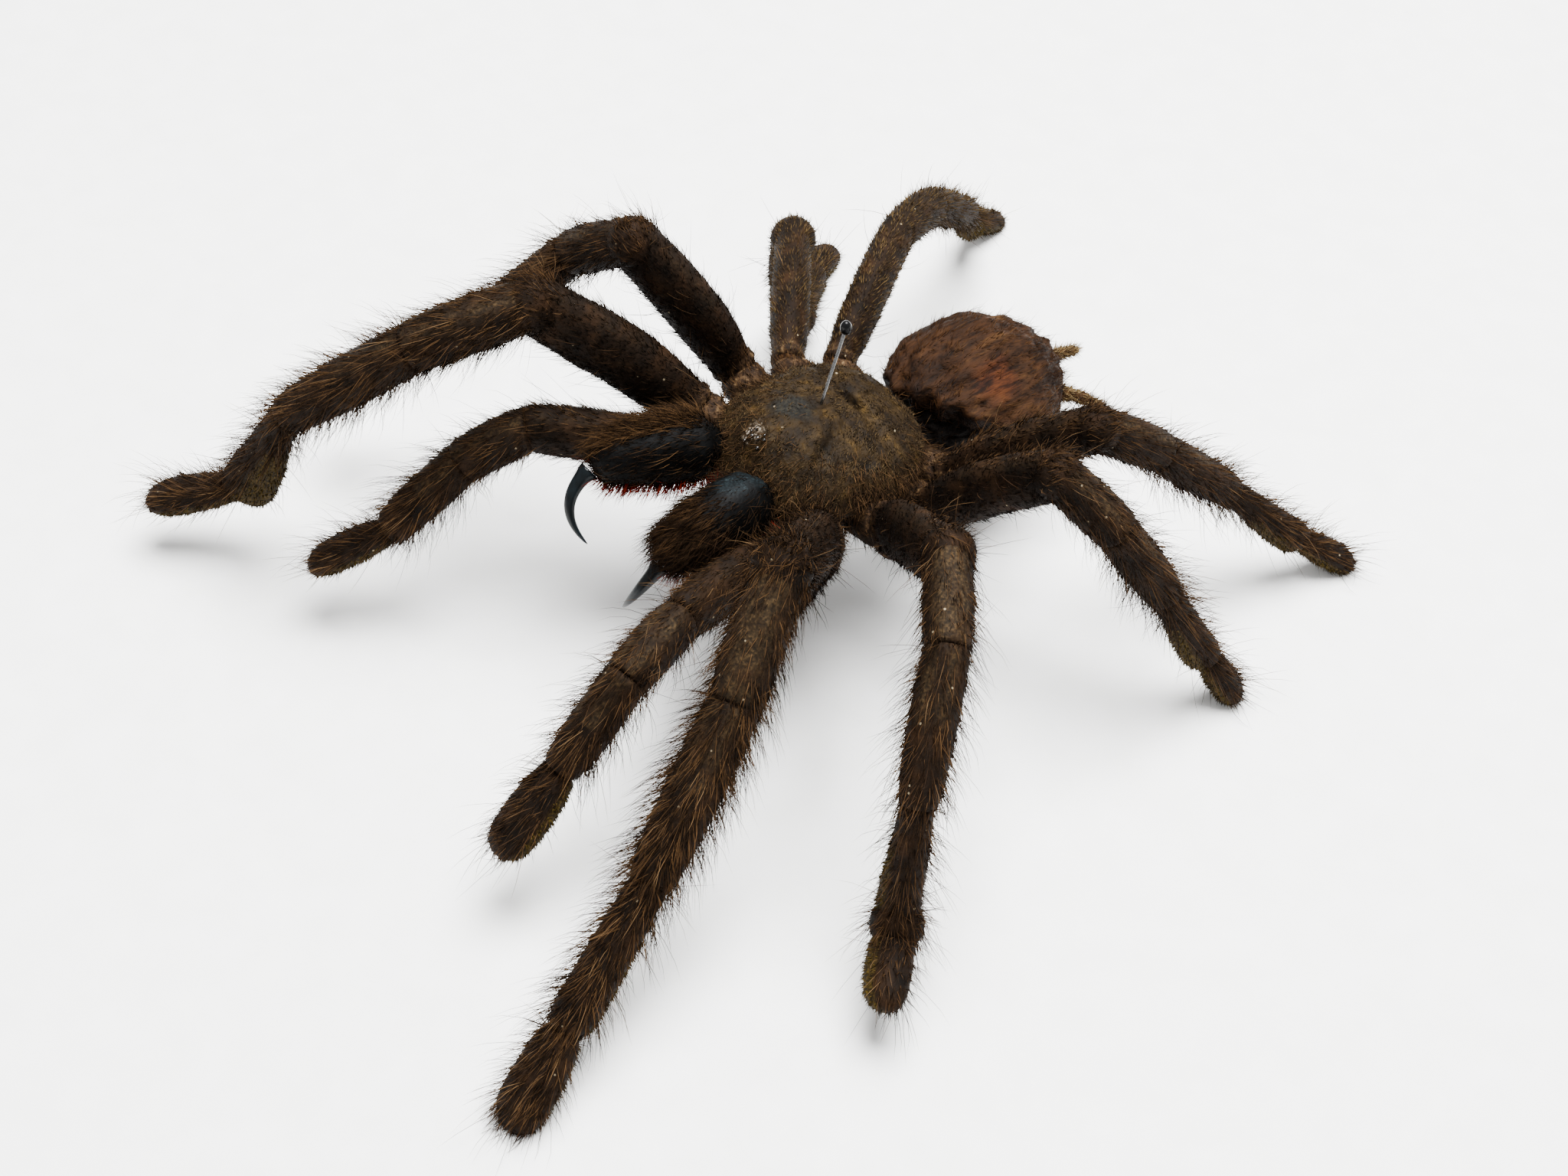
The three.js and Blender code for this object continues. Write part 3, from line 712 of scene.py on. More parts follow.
def shield(x, y, z):
    """A point of the unit ball moved to the shield, in the body's frame, in mm."""
    ahead, out = -y, min(1.0, math.hypot(x, y))
    # Fuller corners than an ellipse has, and a narrower head and tail.
    square = (abs(x) ** 2.5 + abs(y) ** 2.5) ** (-1 / 2.5) * out if out > 1e-6 else 1.0
    narrow = 1 - 0.16 * max(0.0, ahead - 0.3) ** 1.2 - 0.1 * max(0.0, -ahead - 0.3)
    px = SHIELD_OUT + x * square * narrow * HALF_WIDTH
    py = y * square * (FRONT if y < 0 else REAR) + SHIELD_BACK
    if z <= 0:
        return Vector((px, py, -1.2 * min(1.0, -z * 3)))
    dome = 5.6 * (1 - out**2.4) ** 0.72
    head = 2.3 * math.exp(-(((ahead - 0.55) / 0.4) ** 2) - (x / 0.55) ** 2)
    round_fovea, reach = math.atan2(px, -(py - FOVEA_Y)), math.hypot(px, py - FOVEA_Y)
    grooves = max(0.0, math.cos(4.0 * round_fovea + 0.3)) ** 5 * math.exp(-(((reach - 6.0) / 3.6) ** 2))
    # Two grooves part the head from the rest.
    neck = math.exp(-(((abs(px) - (2.2 + 0.42 * (FOVEA_Y - py))) / 0.9) ** 2))
    neck = neck * math.exp(-(((py + 4) / 6) ** 2)) * (-13 < py < 2)
    pit = 1.9 * bell(px, py, 0.4, 3.4, 1.5, 0.55) + 0.5 * bell(px, py, 0.4, 3.4, 2.8, 2.0)
    mound = 1.9 * bell(px, py, -0.2, -11.4, 1.7, 1.3)
    rough = 0.3 * noise.fractal(Vector((px / 2.0, py / 2.0, 3.1)), 0.8, 2.0, 4)
    rough = rough + 0.08 * noise.noise(Vector((px / 0.5, py / 0.5, 0)))
    return Vector((px, py, dome + (head - 0.5 * grooves - 0.7 * neck - pit + mound + rough) * math.sqrt(z)))


print("fovea at", [round(c / MM, 1) for c in BODY @ (shield(0, 0.232, 0.97) * MM)], "mm")

# %% Carapace
bm = bmesh.new()
for v in fresh_ball(bm, 144, 96, 1.0):
    v.co = BODY @ (shield(*v.co) * MM)
carapace = settle("carapace_shell", bm, SHIELD_HORN, ["carapace"])
print("carapace:", len(carapace.data.polygons), "faces")

# %% [markdown]
# ## Eyes
# A tarantula has eight small eyes on one mound, in two rows, the middle pair the largest. Each is a ball
# whose middle lies on the shield's surface.

# %% Eyes
# Place in the body's frame and radius, in mm.
EYES = [(0.3, -11.7, 0.3), (-0.7, -11.7, 0.3), (1.0, -12.1, 0.27), (-1.4, -12.1, 0.27)]
EYES += [(1.0, -11.2, 0.24), (-1.4, -11.2, 0.24), (0.6, -10.9, 0.18), (-1.0, -10.9, 0.18)]

bm = bmesh.new()
for x, y, radius in EYES:
    ux, uy = (x - SHIELD_OUT) / HALF_WIDTH, (y - SHIELD_BACK) / FRONT
    seat = BODY @ (shield(ux, uy, math.sqrt(1 - ux * ux - uy * uy)) * MM)
    bmesh.ops.translate(bm, vec=seat, verts=fresh_ball(bm, 16, 10, radius * MM))
settle("eyes", bm, EYE_LENS)
print("eyes:", len(EYES))

# %% [markdown]
# ## Breast plate and coxae
# Under the shield a domed plate carries ten short drums, one for each limb. They show between the shield
# and the thighs, with tan skin on top. The plate is a pressed ball, and each drum is drawn out from it to
# the hip and leans into the thigh that it meets.

# %% One coxa
DRUM_RADIUS = 2.9  # mm
DRUM_PROFILE = [(0, 0.8), (0.15, 0.95), (0.3, 1), (0.5, 1.03), (0.6, 0.97)]
DRUM_PROFILE += [(0.66, 1.02), (0.8, 1.06), (0.88, 1.0), (0.94, 0.92), (1, 0.78)]


def drum_rings(inner, hip, lean, girth):
    """The rings of a drum from the plate to a hip."""
    along, side, up = axes_of(inner, hip)
    rings = []
    for t, g in DRUM_PROFILE:
        plane = along.lerp(lean, max(0.0, (t - 0.5) * 2)).normalized()

        def place(a, t=t, g=g, plane=plane):
            spin = Vector((2.5 * math.cos(a), 2.5 * math.sin(a), 6 * t + hip.x / MM))
            dent = 1 + 0.08 * noise.noise(spin)
            off = (side * math.cos(a) + up * math.sin(a)) * girth * g * dent
            return inner.lerp(hip, 0.98 * t) + off - along * (off.dot(plane) / along.dot(plane))

        rings.append((place, lambda a, t=t: (0.0, 0.0, 0.8 * (t > 0.55) * max(0.0, math.sin(a) + 0.4))))
    return rings


print("rings in a drum:", len(DRUM_PROFILE))

# %% Breast plate and coxae
bm = bmesh.new()
for name in PAINT:
    bm.verts.layers.float.new(name)
fresh_ball(bm, 48, 28, 1.0)
bmesh.ops.scale(bm, vec=(9 * MM, 11.5 * MM, 3.2 * MM), verts=bm.verts)
bmesh.ops.translate(bm, vec=(0, 0, -5.2 * MM), verts=bm.verts)
bmesh.ops.transform(bm, matrix=BODY, verts=bm.verts)
drums = []
for limb in LIMBS:
    hip = JOINTS[limb][0]
    local = BODY.inverted() @ hip
    inner = BODY @ Vector((local.x * 0.42, local.y * (0.62 if "palp" in limb else 0.8), -4.8 * MM))
    along, _, _ = axes_of(inner, hip)
    lean = (along + (JOINTS[limb][1] - hip).normalized()).normalized()
    rings = drum_rings(inner, hip, lean, DRUM_RADIUS * STOUT[pair_of(limb)] * MM)
    loft(bm, rings, paint=PAINT)
    drums.append((inner, hip))
coxae = settle("sternum_and_coxae_shell", bm, LIMB_HORN, ["sternum_and_coxae"])
print("drums:", len(drums))

# %% [markdown]
# ## Abdomen
# The belly was soft and shrank as it dried, so a ball is pulled long and then folded: broad waves
# lengthwise, fine ribs over them, and at its front left a torn edge, raised like the hem of a tent, below
# which the skin sinks into a hollow that is painted dark as shade. The ball is turned first, so that its
# poles lie at the waist and the tail.

# %% Shape of the abdomen
BELLY = Vector((-0.3, 29.6, 21.1))  # mm, its middle
# The torn edge: a compass turn round the middle in degrees, and its height as a share of the half height.
EDGE_TURN = (-150, -104, -76, -51, -27, -10, 10, 35)
EDGE_HEIGHT = (0.4, 0.6, 0.74, 0.68, 0.51, 0.25, -0.02, -0.3)
HOLLOW_DEPTH = 2.8  # mm


def belly_place(x, y, z):
    """A point of the unit ball moved to the belly, in mm, and how much painted shade darkens it there."""
    around = math.atan2(z, x)
    fold = 1 + 0.035 * math.sin(5 * around + 2 * y) * (1 - y * y)
    taper = 1 - 0.16 * max(0.0, y - 0.3) - 0.12 * max(0.0, -y - 0.2) ** 1.5
    p = Vector((x * 11.6 * fold * taper, y * (15.4 if y < 0 else 12.8), z * 9.9 * fold * taper))
    out = Vector((x / 11.6, y / 12.6, z / 10.2)).normalized()
    ribs = noise.turbulence(Vector((p.x / 1.8, p.y / 9.0, p.z / 1.8)), 6, False)
    dents = noise.fractal(Vector((p.x / 6, p.y / 8, p.z / 6 + 4)), 0.9, 2.0, 3)
    turn = math.degrees(math.atan2(y, x))
    edge = z - float(np.interp(turn, EDGE_TURN, EDGE_HEIGHT)) - 0.04 * math.sin(turn / 4)
    front = float(np.interp(turn, (-160, -120, 5, 35), (0, 1, 1, 0)))
    lip = math.exp(-(((edge - 0.05) / 0.05) ** 2)) * front
    below = float(np.interp(edge, (-1.1, -0.7, -0.16, -0.02), (0, 1, 1, 0))) * front
    return BELLY + p - out * (0.6 * ribs - 0.35 * dents - 0.4 * lip + HOLLOW_DEPTH * below), 0.97 * below


print("top of the belly at", round(belly_place(0, 0, 1)[0].z, 1), "mm")

# %% Abdomen
bm = bmesh.new()
hollow_shade = bm.verts.layers.float.new("hollow_shade")
fresh_ball(bm, 160, 110, 1.0)
bmesh.ops.rotate(bm, cent=(0, 0, 0), matrix=Matrix.Rotation(math.radians(90), 3, "X"), verts=bm.verts)
for v in bm.verts:
    spot, v[hollow_shade] = belly_place(*v.co)
    v.co = spot * MM
abdomen = settle("abdomen_sac", bm, BELLY_SKIN, ["abdomen"])
print("abdomen:", len(abdomen.data.polygons), "faces")

# %% [markdown]
# ## Chelicerae, fangs and spinnerets
# Each is a tube on a smooth line through three points: stout for the jaws, tapering to a needle for the
# fangs, ringed for the spinnerets. Three points are enough for one bend, and are easy to move.

# %% Lines and girths of the curved pieces
# Root, middle and tip in the drawing's frame, in mm.
CHELICERA = {
    "left": ((4.7, -12.6, 28.2), (5.4, -21.5, 28.6), (5.7, -29.4, 27)),
    "right": ((-4.7, -12.6, 29), (-7.4, -21, 30.8), (-10, -28.8, 30.8)),
}
FANG = {
    "left": ((5.6, -29.6, 26.3), (5.2, -32.8, 23.4), (3.6, -34.1, 20)),
    "right": ((-10.1, -29.2, 30.1), (-9.2, -33, 26.6), (-6.4, -32.5, 22)),
}
SPINNERET = {
    "left": ((5.6, 35.2, 19.6), (8.4, 37.6, 19.4), (11.4, 39.6, 18.2)),
    "right": ((0.6, 37, 20.4), (1.4, 39.6, 21.2), (2.4, 42.2, 21.2)),
}


def jaw_radius(t):
    """Half the height of a jaw in mm: rounded at its root, full in its middle, drawn in at the fang."""
    swell = 0.88 + 0.16 * math.sin(math.pi * min(1, t * 1.3)) - 0.2 * max(0, t - 0.45)
    swell = swell - 6 * max(0, t - 0.76) ** 2 - 2.2 * max(0, t - 0.93)
    return 4.3 * min(1.0, (t + 0.02) / 0.2) ** 0.5 * swell


def fang_radius(t):
    """Half the width of a fang in mm, with a collar at its root."""
    return 1.0 * (1 - t) ** 0.7 + 0.06 + 0.25 * math.exp(-((t / 0.09) ** 2))


def spinneret_radius(t):
    """Half the width of a spinneret in mm, with a waist at each of its two joints."""
    waists = sum(0.18 * math.exp(-(((t - at) / 0.05) ** 2)) for at in (0.4, 0.72))
    return 1.1 * (1 - 0.45 * t) * (1 - waists) * (1 if t < 0.95 else 0.7)


print("a jaw is", round(2 * jaw_radius(0.4), 1), "mm high")

# %% Curved pieces
def line_through(points, count):
    """Points of a smooth curve through three given ones, in metres."""
    a, b, c = (Vector(p) + SHIFT for p in points)
    pull = b * 2 - (a + c) / 2
    shares = np.linspace(0, 1, count).tolist()
    return [(a * (1 - t) ** 2 + pull * 2 * t * (1 - t) + c * t * t) * MM for t in shares]


def horn(points, radius, count, spokes, flat=1.0):
    """A bmesh of a tube along a curve. flat is its width as a share of its height."""
    line = line_through(points, count)
    rings = []
    for k, centre in enumerate(line):
        _, side, up = axes_of(line[max(0, k - 1)], line[min(count - 1, k + 1)])
        rings.append(round_ring(centre, side, up, radius(k / (count - 1)) * MM, flat))
    bm = bmesh.new()
    loft(bm, rings, spokes)
    return bm


chelicera, spinneret = {}, {}
for hand in ("left", "right"):
    bm = horn(CHELICERA[hand], jaw_radius, count=40, spokes=40, flat=0.94)
    jaw = f"chelicera_{hand}"
    chelicera[hand] = settle(f"{jaw}_shell", bm, JAW_HORN, [jaw])
    bm = horn(FANG[hand], fang_radius, count=36, spokes=24)
    settle(f"fang_{hand}_horn", bm, FANG_HORN, [f"fang_{hand}"])
    bm = horn(SPINNERET[hand], spinneret_radius, count=28, spokes=18)
    tail = f"spinneret_{hand}"
    spinneret[hand] = settle(f"{tail}_body", bm, JOINT_SKIN, [tail])
print("jaw:", len(chelicera["left"].data.polygons), "faces")

# %% [markdown]
# ## Pin
# An insect pin is 38 mm of thin steel wire, ground to a point, with a ball head to push it by. It goes in
# behind the eyes and leans as it was pushed. The wire is a tube that thins towards its foot, and the head
# is a ball drawn out a little along the wire.

# %% Pin
PIN_LENGTH, PIN_ABOVE = 38, 12.6  # mm, its whole length and how much of it stands off the back
PIN_HOLE = Vector((0.1, -0.6, 33.2))  # mm, in the drawing's frame
BALL_RADIUS = 0.85  # mm
# Shares of its length from the foot, and the wire's radius there in mm.
PIN_PROFILE = [(0, 0.03), (0.02, 0.1), (0.05, 0.18), (0.07, 0.2), (0.5, 0.2), (0.985, 0.2)]

lean = Vector((0.117, 0.188, 0.975)).normalized()
pin_top = (PIN_HOLE + SHIFT + lean * PIN_ABOVE) * MM
pin_foot = pin_top - lean * PIN_LENGTH * MM
_, side, up = axes_of(pin_foot, pin_top)
bm = bmesh.new()
loft(bm, [round_ring(pin_foot.lerp(pin_top, t), side, up, r * MM) for t, r in PIN_PROFILE], spokes=16)
settle("insect_pin_wire", bm, PIN_WIRE, ["pin"])
bm = bmesh.new()
fresh_ball(bm, 32, 20, BALL_RADIUS * MM)
bmesh.ops.scale(bm, vec=(0.88, 0.88, 1.2), verts=bm.verts)
bmesh.ops.translate(bm, vec=pin_top, verts=bm.verts)
settle("insect_pin_ball", bm, PIN_ENAMEL)
print("the pin's foot is", round(pin_foot.z / MM, 1), "mm above the floor")

# %% [markdown]
# ## Where the hairs grow
# Hairs stand evenly on skin, not evenly on faces, which differ in size. So each hair picks a triangle with
# a chance in proportion to its area and to the share of hair that the coat wants there, and then a point
# inside it.

# %% Scattering roots
def scatter(obj, count, keep=None, paint=()):
    """Roots over a mesh, their normals, and the painted values there. keep gives each face its share."""
    mesh = obj.data
    mesh.calc_loop_triangles()
    tris = np.empty(len(mesh.loop_triangles) * 3, int)
    mesh.loop_triangles.foreach_get("vertices", tris)
    tris = tris.reshape(-1, 3)
    co = np.empty(len(mesh.vertices) * 3)
    mesh.vertices.foreach_get("co", co)
    a, b, c = co.reshape(-1, 3)[tris].transpose(1, 0, 2)
    n = np.cross(b - a, c - a)
    area = np.linalg.norm(n, axis=1)
    n = n / np.maximum(area, 1e-15)[:, None]
    painted = []
    for name in paint:
        flat = np.empty(len(mesh.vertices), np.float32)
        mesh.attributes[name].data.foreach_get("value", flat)
        painted.append(flat[tris].mean(1))
    share = area * (keep((a + b + c) / 3, n, *painted) if keep else 1)
    pick = rng.choice(len(tris), count, p=share / share.sum())
    u = np.sqrt(rng.random(count))[:, None]
    w = rng.random(count)[:, None]
    return a[pick] * (1 - u) + b[pick] * u * (1 - w) + c[pick] * u * w, n[pick], *[p[pick] for p in painted]


def near(points, centre, radius):
    """1 at a centre, falling off smoothly with a radius in mm."""
    return np.exp(-((np.linalg.norm(points - np.array(centre), axis=1) / (radius * MM)) ** 2))


def unit(v):
    """Rows of an array as unit vectors."""
    return v / np.maximum(np.linalg.norm(v, axis=1), 1e-12)[:, None]


def alike(way, roots):
    """One direction, repeated for every root."""
    return np.tile(way, (len(roots), 1))


print("halfway out, near() is", round(float(near(np.array([[0.5 * MM, 0, 0]]), (0, 0, 0), 1)[0]), 2))

# %% [markdown]
# ## The mesh of a coat
# A coat has tens of thousands of hairs, too many for an operator each, so its points are worked out as
# arrays and joined to one mesh. A hair is a spike of one to three parts on a three-sided root, closed at
# both ends, which keeps it to 16 triangles at most and still lets it curve.

# %% The mesh of a coat
def spike_points(bends, across, other, thick, parts):
    """The points of all hairs: rings of three on a curve with three control points, and a tip."""
    p0, p1, p2 = bends
    rings = []
    for k in range(parts):
        s = k / parts
        centre = (1 - s) ** 2 * p0 + 2 * s * (1 - s) * p1 + s * s * p2
        for j in range(3):
            a = 2 * math.pi * j / 3
            rings.append(centre + (across * math.cos(a) + other * math.sin(a)) * thick * (1 - 0.6 * s))
    verts = np.stack([*rings, p2], 1)
    verts[:, :, 2] = verts[:, :, 2].clip(0.0)
    return verts


def spike_faces(parts):
    """The corners of one hair's faces in a row, and how many corners each face has."""
    pattern, sizes = [2, 1, 0], [3]
    for k in range(parts - 1):
        for j in range(3):
            pattern += [k * 3 + j, k * 3 + (j + 1) % 3, k * 3 + 3 + (j + 1) % 3, k * 3 + 3 + j]
            sizes.append(4)
    for j in range(3):
        pattern += [(parts - 1) * 3 + j, (parts - 1) * 3 + (j + 1) % 3, 3 * parts]
        sizes.append(3)
    return pattern, sizes


def coat_mesh(name, verts, parts):
    """One mesh of many equal spikes."""
    count, per = verts.shape[:2]
    pattern, sizes = spike_faces(parts)
    mesh = bpy.data.meshes.new(name)
    mesh.vertices.add(count * per)
    mesh.vertices.foreach_set("co", verts.ravel())
    loops = (np.array(pattern) + per * np.arange(count)[:, None]).ravel()
    mesh.loops.add(len(loops))
    mesh.loops.foreach_set("vertex_index", loops)
    starts = (np.cumsum([0] + sizes[:-1]) + len(pattern) * np.arange(count)[:, None]).ravel()
    mesh.polygons.add(len(starts))
    mesh.polygons.foreach_set("loop_start", starts)
    mesh.update(calc_edges=True)
    return mesh


print("faces of a hair in 1, 2 and 3 parts:", [len(spike_faces(parts)[1]) for parts in (1, 2, 3)])

# %% [markdown]
# ## Laying a coat
# Real hairs number in the millions, so these are drawn a little thicker than life and a few dozen times
# fewer. Each leaves the skin at its lift, and bends over to its rest angle along the comb direction.
# Neighbours clump together as dry hair does, pushed by a noise that changes over a millimetre or two.

# %% Laying a coat
ROOT_DEPTH = 0.08  # mm, how deep a root starts under the skin
ROOT_FLOOR, BEND_FLOOR = 0.05, 0.12  # mm, the lowest that a root and a bend go
CLUMP_SIZE = 1.6  # mm
hair_count = {}


def hairs(
    name, roots, normals, comb, length, radius, lift, rest, kind, slot,
    parts=1, wild=0.15, tone=(0.1, 0.8), clump=0.0,
):
    """A coat. length and radius are (least, most) in mm, and lift and rest are degrees off the skin.

    length, lift and rest may hold one value for each hair.
    """
    count = len(roots)
    comb = comb - normals * (comb * normals).sum(1)[:, None] + rng.normal(0, wild, (count, 3))
    if clump:
        wave = np.array([noise.noise_vector(Vector(p) / (CLUMP_SIZE * MM)) for p in roots])
        comb = comb + clump * wave
    comb = unit(comb)
    least, most = length
    long = ((least + (most - least) * rng.random(count) ** 1.4) * MM)[:, None]
    thick = rng.uniform(*radius, count)[:, None] * MM

    def leaning(degrees):
        a = np.radians(degrees * rng.uniform(0.6, 1.4, count))[:, None]
        return unit(comb * np.cos(a) + normals * np.sin(a))

    first, final = leaning(lift), leaning(rest)
    p0 = roots - normals * ROOT_DEPTH * MM
    p1 = p0 + first * long * 0.5
    p2 = p1 + final * long * 0.5
    p0[:, 2] = p0[:, 2].clip(ROOT_FLOOR * MM)
    p1[:, 2] = p1[:, 2].clip(BEND_FLOOR * MM)
    p2[:, 2] = p2[:, 2].clip(BEND_FLOOR * MM)
    across = unit(np.cross(first, normals + 0.01))
    verts = spike_points((p0, p1, p2), across, np.cross(first, across), thick, parts)
    mesh = coat_mesh(name, verts, parts)
    # Painted shade and light: a hair on skin that faces down is darker, one on top paler, and each hair is
    # painted paler towards its tip.
    shade = rng.uniform(*tone, count) + 0.2 * normals[:, 2]
    shade = shade[:, None] + 0.22 * np.repeat(np.arange(parts + 1) / parts, [3] * parts + [1])
    values = shade.ravel().clip(0, 1).astype(np.float32)
    mesh.attributes.new("tone", "FLOAT", "POINT").data.foreach_set("value", values)
    mesh.materials.append(HAIR[kind])
    mesh.shade_smooth()
    made = bpy.data.objects.new(name, mesh)
    bpy.context.scene.collection.objects.link(made)
    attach(made, "root")
    hair_count[name] = count * (6 * parts - 2)


print("triangles of a hair in 1, 2 and 3 parts:", [6 * parts - 2 for parts in (1, 2, 3)])

# %% [markdown]
# ## Which way hair runs on a limb
# On a limb the hair runs towards the foot, so each root looks up its nearest piece and takes that piece's
# direction. Its place along the limb, counted in pieces, tells how long a hair is there. The thighs are
# black on their flanks.

# %% Combing a limb
# How far up a thigh black hair reaches, as the steepest upward part of a normal that it still covers.
BROW = {"leg_left_1": 0.8, "leg_left_2": 0.8, "leg_left_3": 0.65, "leg_right_1": 0.97, "leg_right_2": 0.8}
OTHER_BROW = 0.5
BROWN_THIGHS = (*DOWNY, "palp_left")
THIGH_START, THIGH_END = 0.1, 0.97


def comb_of(limb, points):
    """For each point the direction towards the foot, and its place along the limb counted in pieces."""
    line = np.array(JOINTS[limb])
    nearest, direction, at = np.full(len(points), np.inf), np.zeros_like(points), np.zeros(len(points))
    for i, (a, b) in enumerate(zip(line, line[1:])):
        d = b - a
        t = np.clip(((points - a) @ d) / (d @ d), 0, 1)
        off = np.linalg.norm(points - a - t[:, None] * d, axis=1)
        closer = off < nearest
        nearest[closer], at[closer] = off[closer], i + t[closer]
        direction[closer] = d / np.linalg.norm(d)
    return direction, at


def on_black_flank(limb, at, normals):
    """True for the hairs on the black sides and underside of a thigh."""
    brow = BROW.get(limb, OTHER_BROW)
    return (at < THIGH_END) & (normals[:, 2] < brow) & (at > THIGH_START) & (limb not in BROWN_THIGHS)


print("limbs with black thighs:", len(LIMBS) - len(BROWN_THIGHS))

# %% [markdown]
# ## Pile
# A short dense pile covers the horn and gives the limb its colour. It thins where the horn is bald and
# stops at the pads. The two downy legs have it shorter, and standing up.

# %% Pile
PILE_DENSITY = 62  # hairs for each millimetre of a limb


def lay_pile(limb, amount):
    """Short pile, black on the flanks of the thigh and brown elsewhere."""
    downy = limb in DOWNY
    roots, normals, *_ = scatter(
        shells[limb],
        int(amount * PILE_DENSITY),
        lambda p, n, bald, pad, tan: (1 - 0.75 * bald) * (1 - 0.2 * tan) * (pad < 0.5),
        PAINT,
    )
    comb, at = comb_of(limb, roots)
    dark = on_black_flank(limb, at, normals)
    brown = dict(length=(1.0, 2.0), lift=24, rest=10, kind="limb_pile", clump=0.4)
    if downy:
        brown = dict(length=(0.5, 1.2), lift=48, rest=22, kind="olive_down", clump=0.2)
    hairs(
        f"{limb}_pile", roots[~dark], normals[~dark], comb[~dark],
        radius=(0.05, 0.08), slot="limb_fur", tone=(0.1, 0.7), **brown,
    )
    if dark.any():
        hairs(
            f"{limb}_dark_pile", roots[dark], normals[dark], comb[dark],
            length=(0.8, 1.5), radius=(0.05, 0.08), lift=18, rest=8,
            kind="black_pile", slot="limb_fur", tone=(0.0, 0.8),
        )


print("pile hairs on a first leg:", int(sum(LENGTHS["1"]) * STOUT["1"] * PILE_DENSITY))

# %% [markdown]
# ## Overcoat
# Over the pile lies a longer coat, sparse on the thigh and thickest on the shin and foot. Its length and
# angles are given at a few places along the limb and read in between, because they change smoothly from hip
# to toe.

# %% Overcoat
# Shortest and longest hair in mm, and lift and rest in degrees, at places counted in pieces from the hip.
PLACES = (0, 0.8, 1.2, 2.1, 3.0, 4.0, 5.0)
SHORT = (1.0, 1.3, 1.4, 2.2, 2.4, 2.0, 1.5)
LONG = (2.2, 3.2, 3.8, 6.0, 6.4, 4.6, 3.2)
LIFT = (30, 32, 32, 46, 50, 54, 56)
REST = (14, 14, 14, 22, 24, 32, 36)
THICK_COAT = {"leg_left_1": 1.8, "leg_right_1": 1.3}  # these two kept more of their coat
LONG_COAT = {"leg_left_1": 1.2}  # and this one a longer one
DOWN_LENGTH, DOWN_LIFT, DOWN_REST = 0.42, 1.6, 2.2  # what a downy leg has of another's
OVERCOAT_DENSITY = 37  # hairs for each millimetre of a limb


def lay_overcoat(limb, amount):
    """The longer coat, black on the flanks of the thigh and brown elsewhere."""
    downy = limb in DOWNY
    roots, normals, *_ = scatter(
        shells[limb],
        int(amount * OVERCOAT_DENSITY * THICK_COAT.get(limb, 1.0) / STOUT[pair_of(limb)]),
        lambda p, n, bald, pad, tan: (1 - 0.93 * bald) * (1 - 0.2 * tan) * (1 - 0.9 * pad),
        PAINT,
    )
    comb, at = comb_of(limb, roots)
    if "palp" in limb:  # it has one piece fewer, so its last two are stretched over the last three places
        at = np.where(at > 2, at + (at - 2) / 2 + 0.3, at)
    size = DOWN_LENGTH if downy else 1.0
    size *= LONG_COAT.get(limb, 1.0)
    short, long = (np.interp(at, PLACES, reach) * size for reach in (SHORT, LONG))
    lift = np.interp(at, PLACES, LIFT) * (DOWN_LIFT if downy else 1)
    rest = np.interp(at, PLACES, REST) * (DOWN_REST if downy else 1)
    dark = on_black_flank(limb, at, normals)
    brown = "olive_down" if downy else "limb_pile"
    for part, tag, kind in ((~dark, "overcoat", brown), (dark, "dark_overcoat", "black_pile")):
        if part.any():
            hairs(
                f"{limb}_{tag}", roots[part], normals[part], comb[part],
                length=(short[part], long[part]), radius=(0.034, 0.056), lift=lift[part], rest=rest[part],
                kind=kind, slot="limb_fur", parts=2, wild=0.18,
                tone=(0.1, 0.7) if downy else (0.15, 0.9), clump=0.2 if downy else 0.5,
            )


print("longest overcoat hair:", round(max(LONG) * max(LONG_COAT.values()), 1), "mm")

# %% [markdown]
# ## Bristles and soles
# A few long curved bristles, the setae, stand off the outline, most of them past the knee. The soles carry
# even velvet, the scopula, which lets a spider walk on glass.

# %% Bristles and soles
BRISTLE_DENSITY, SOLE_DENSITY = 13, 13  # roots for each millimetre of a limb
SETAE_PAST_KNEE, SETAE_ON_BLACK, SETAE_ELSEWHERE = 0.9, 0.14, 0.35  # shares of the roots that grow one
SETAE_ON_DOWN = 0.15  # of those, on a downy leg
SHIN_START = 1.9  # pieces from the hip


def lay_setae(limb, amount):
    """Long curved bristles."""
    roots, normals, *_ = scatter(
        shells[limb],
        int(amount * BRISTLE_DENSITY),
        lambda p, n, bald, pad, tan: (1 - 0.8 * bald) * (1 - 0.95 * pad),
        PAINT,
    )
    comb, at = comb_of(limb, roots)
    on_black = (at < THIGH_END) & (limb not in BROWN_THIGHS)
    share = np.where(at > SHIN_START, SETAE_PAST_KNEE, np.where(on_black, SETAE_ON_BLACK, SETAE_ELSEWHERE))
    few = rng.random(len(at)) < share * (SETAE_ON_DOWN if limb in DOWNY else 1)
    hairs(
        f"{limb}_setae", roots[few], normals[few], comb[few],
        length=(3.2, 8.6), radius=(0.03, 0.048), lift=52, rest=22,
        kind="seta", slot="limb_fur", parts=3, wild=0.24, tone=(0.0, 0.75), clump=0.3,
    )


def lay_scopula(limb, amount):
    """Even velvet on the pads."""
    roots, normals, *_ = scatter(
        shells[limb],
        int(amount * SOLE_DENSITY),
        lambda p, n, bald, pad, tan: (pad > 0.4) + 1e-6,
        PAINT,
    )
    comb, _ = comb_of(limb, roots)
    hairs(
        f"{limb}_scopula", roots, normals, comb,
        length=(0.5, 0.75), radius=(0.07, 0.1), lift=60, rest=60,
        kind="scopula", slot="limb_fur", wild=0.2, tone=(0.1, 0.9),
    )


print("bristle roots on a first leg:", int(sum(LENGTHS["1"]) * STOUT["1"] * BRISTLE_DENSITY))

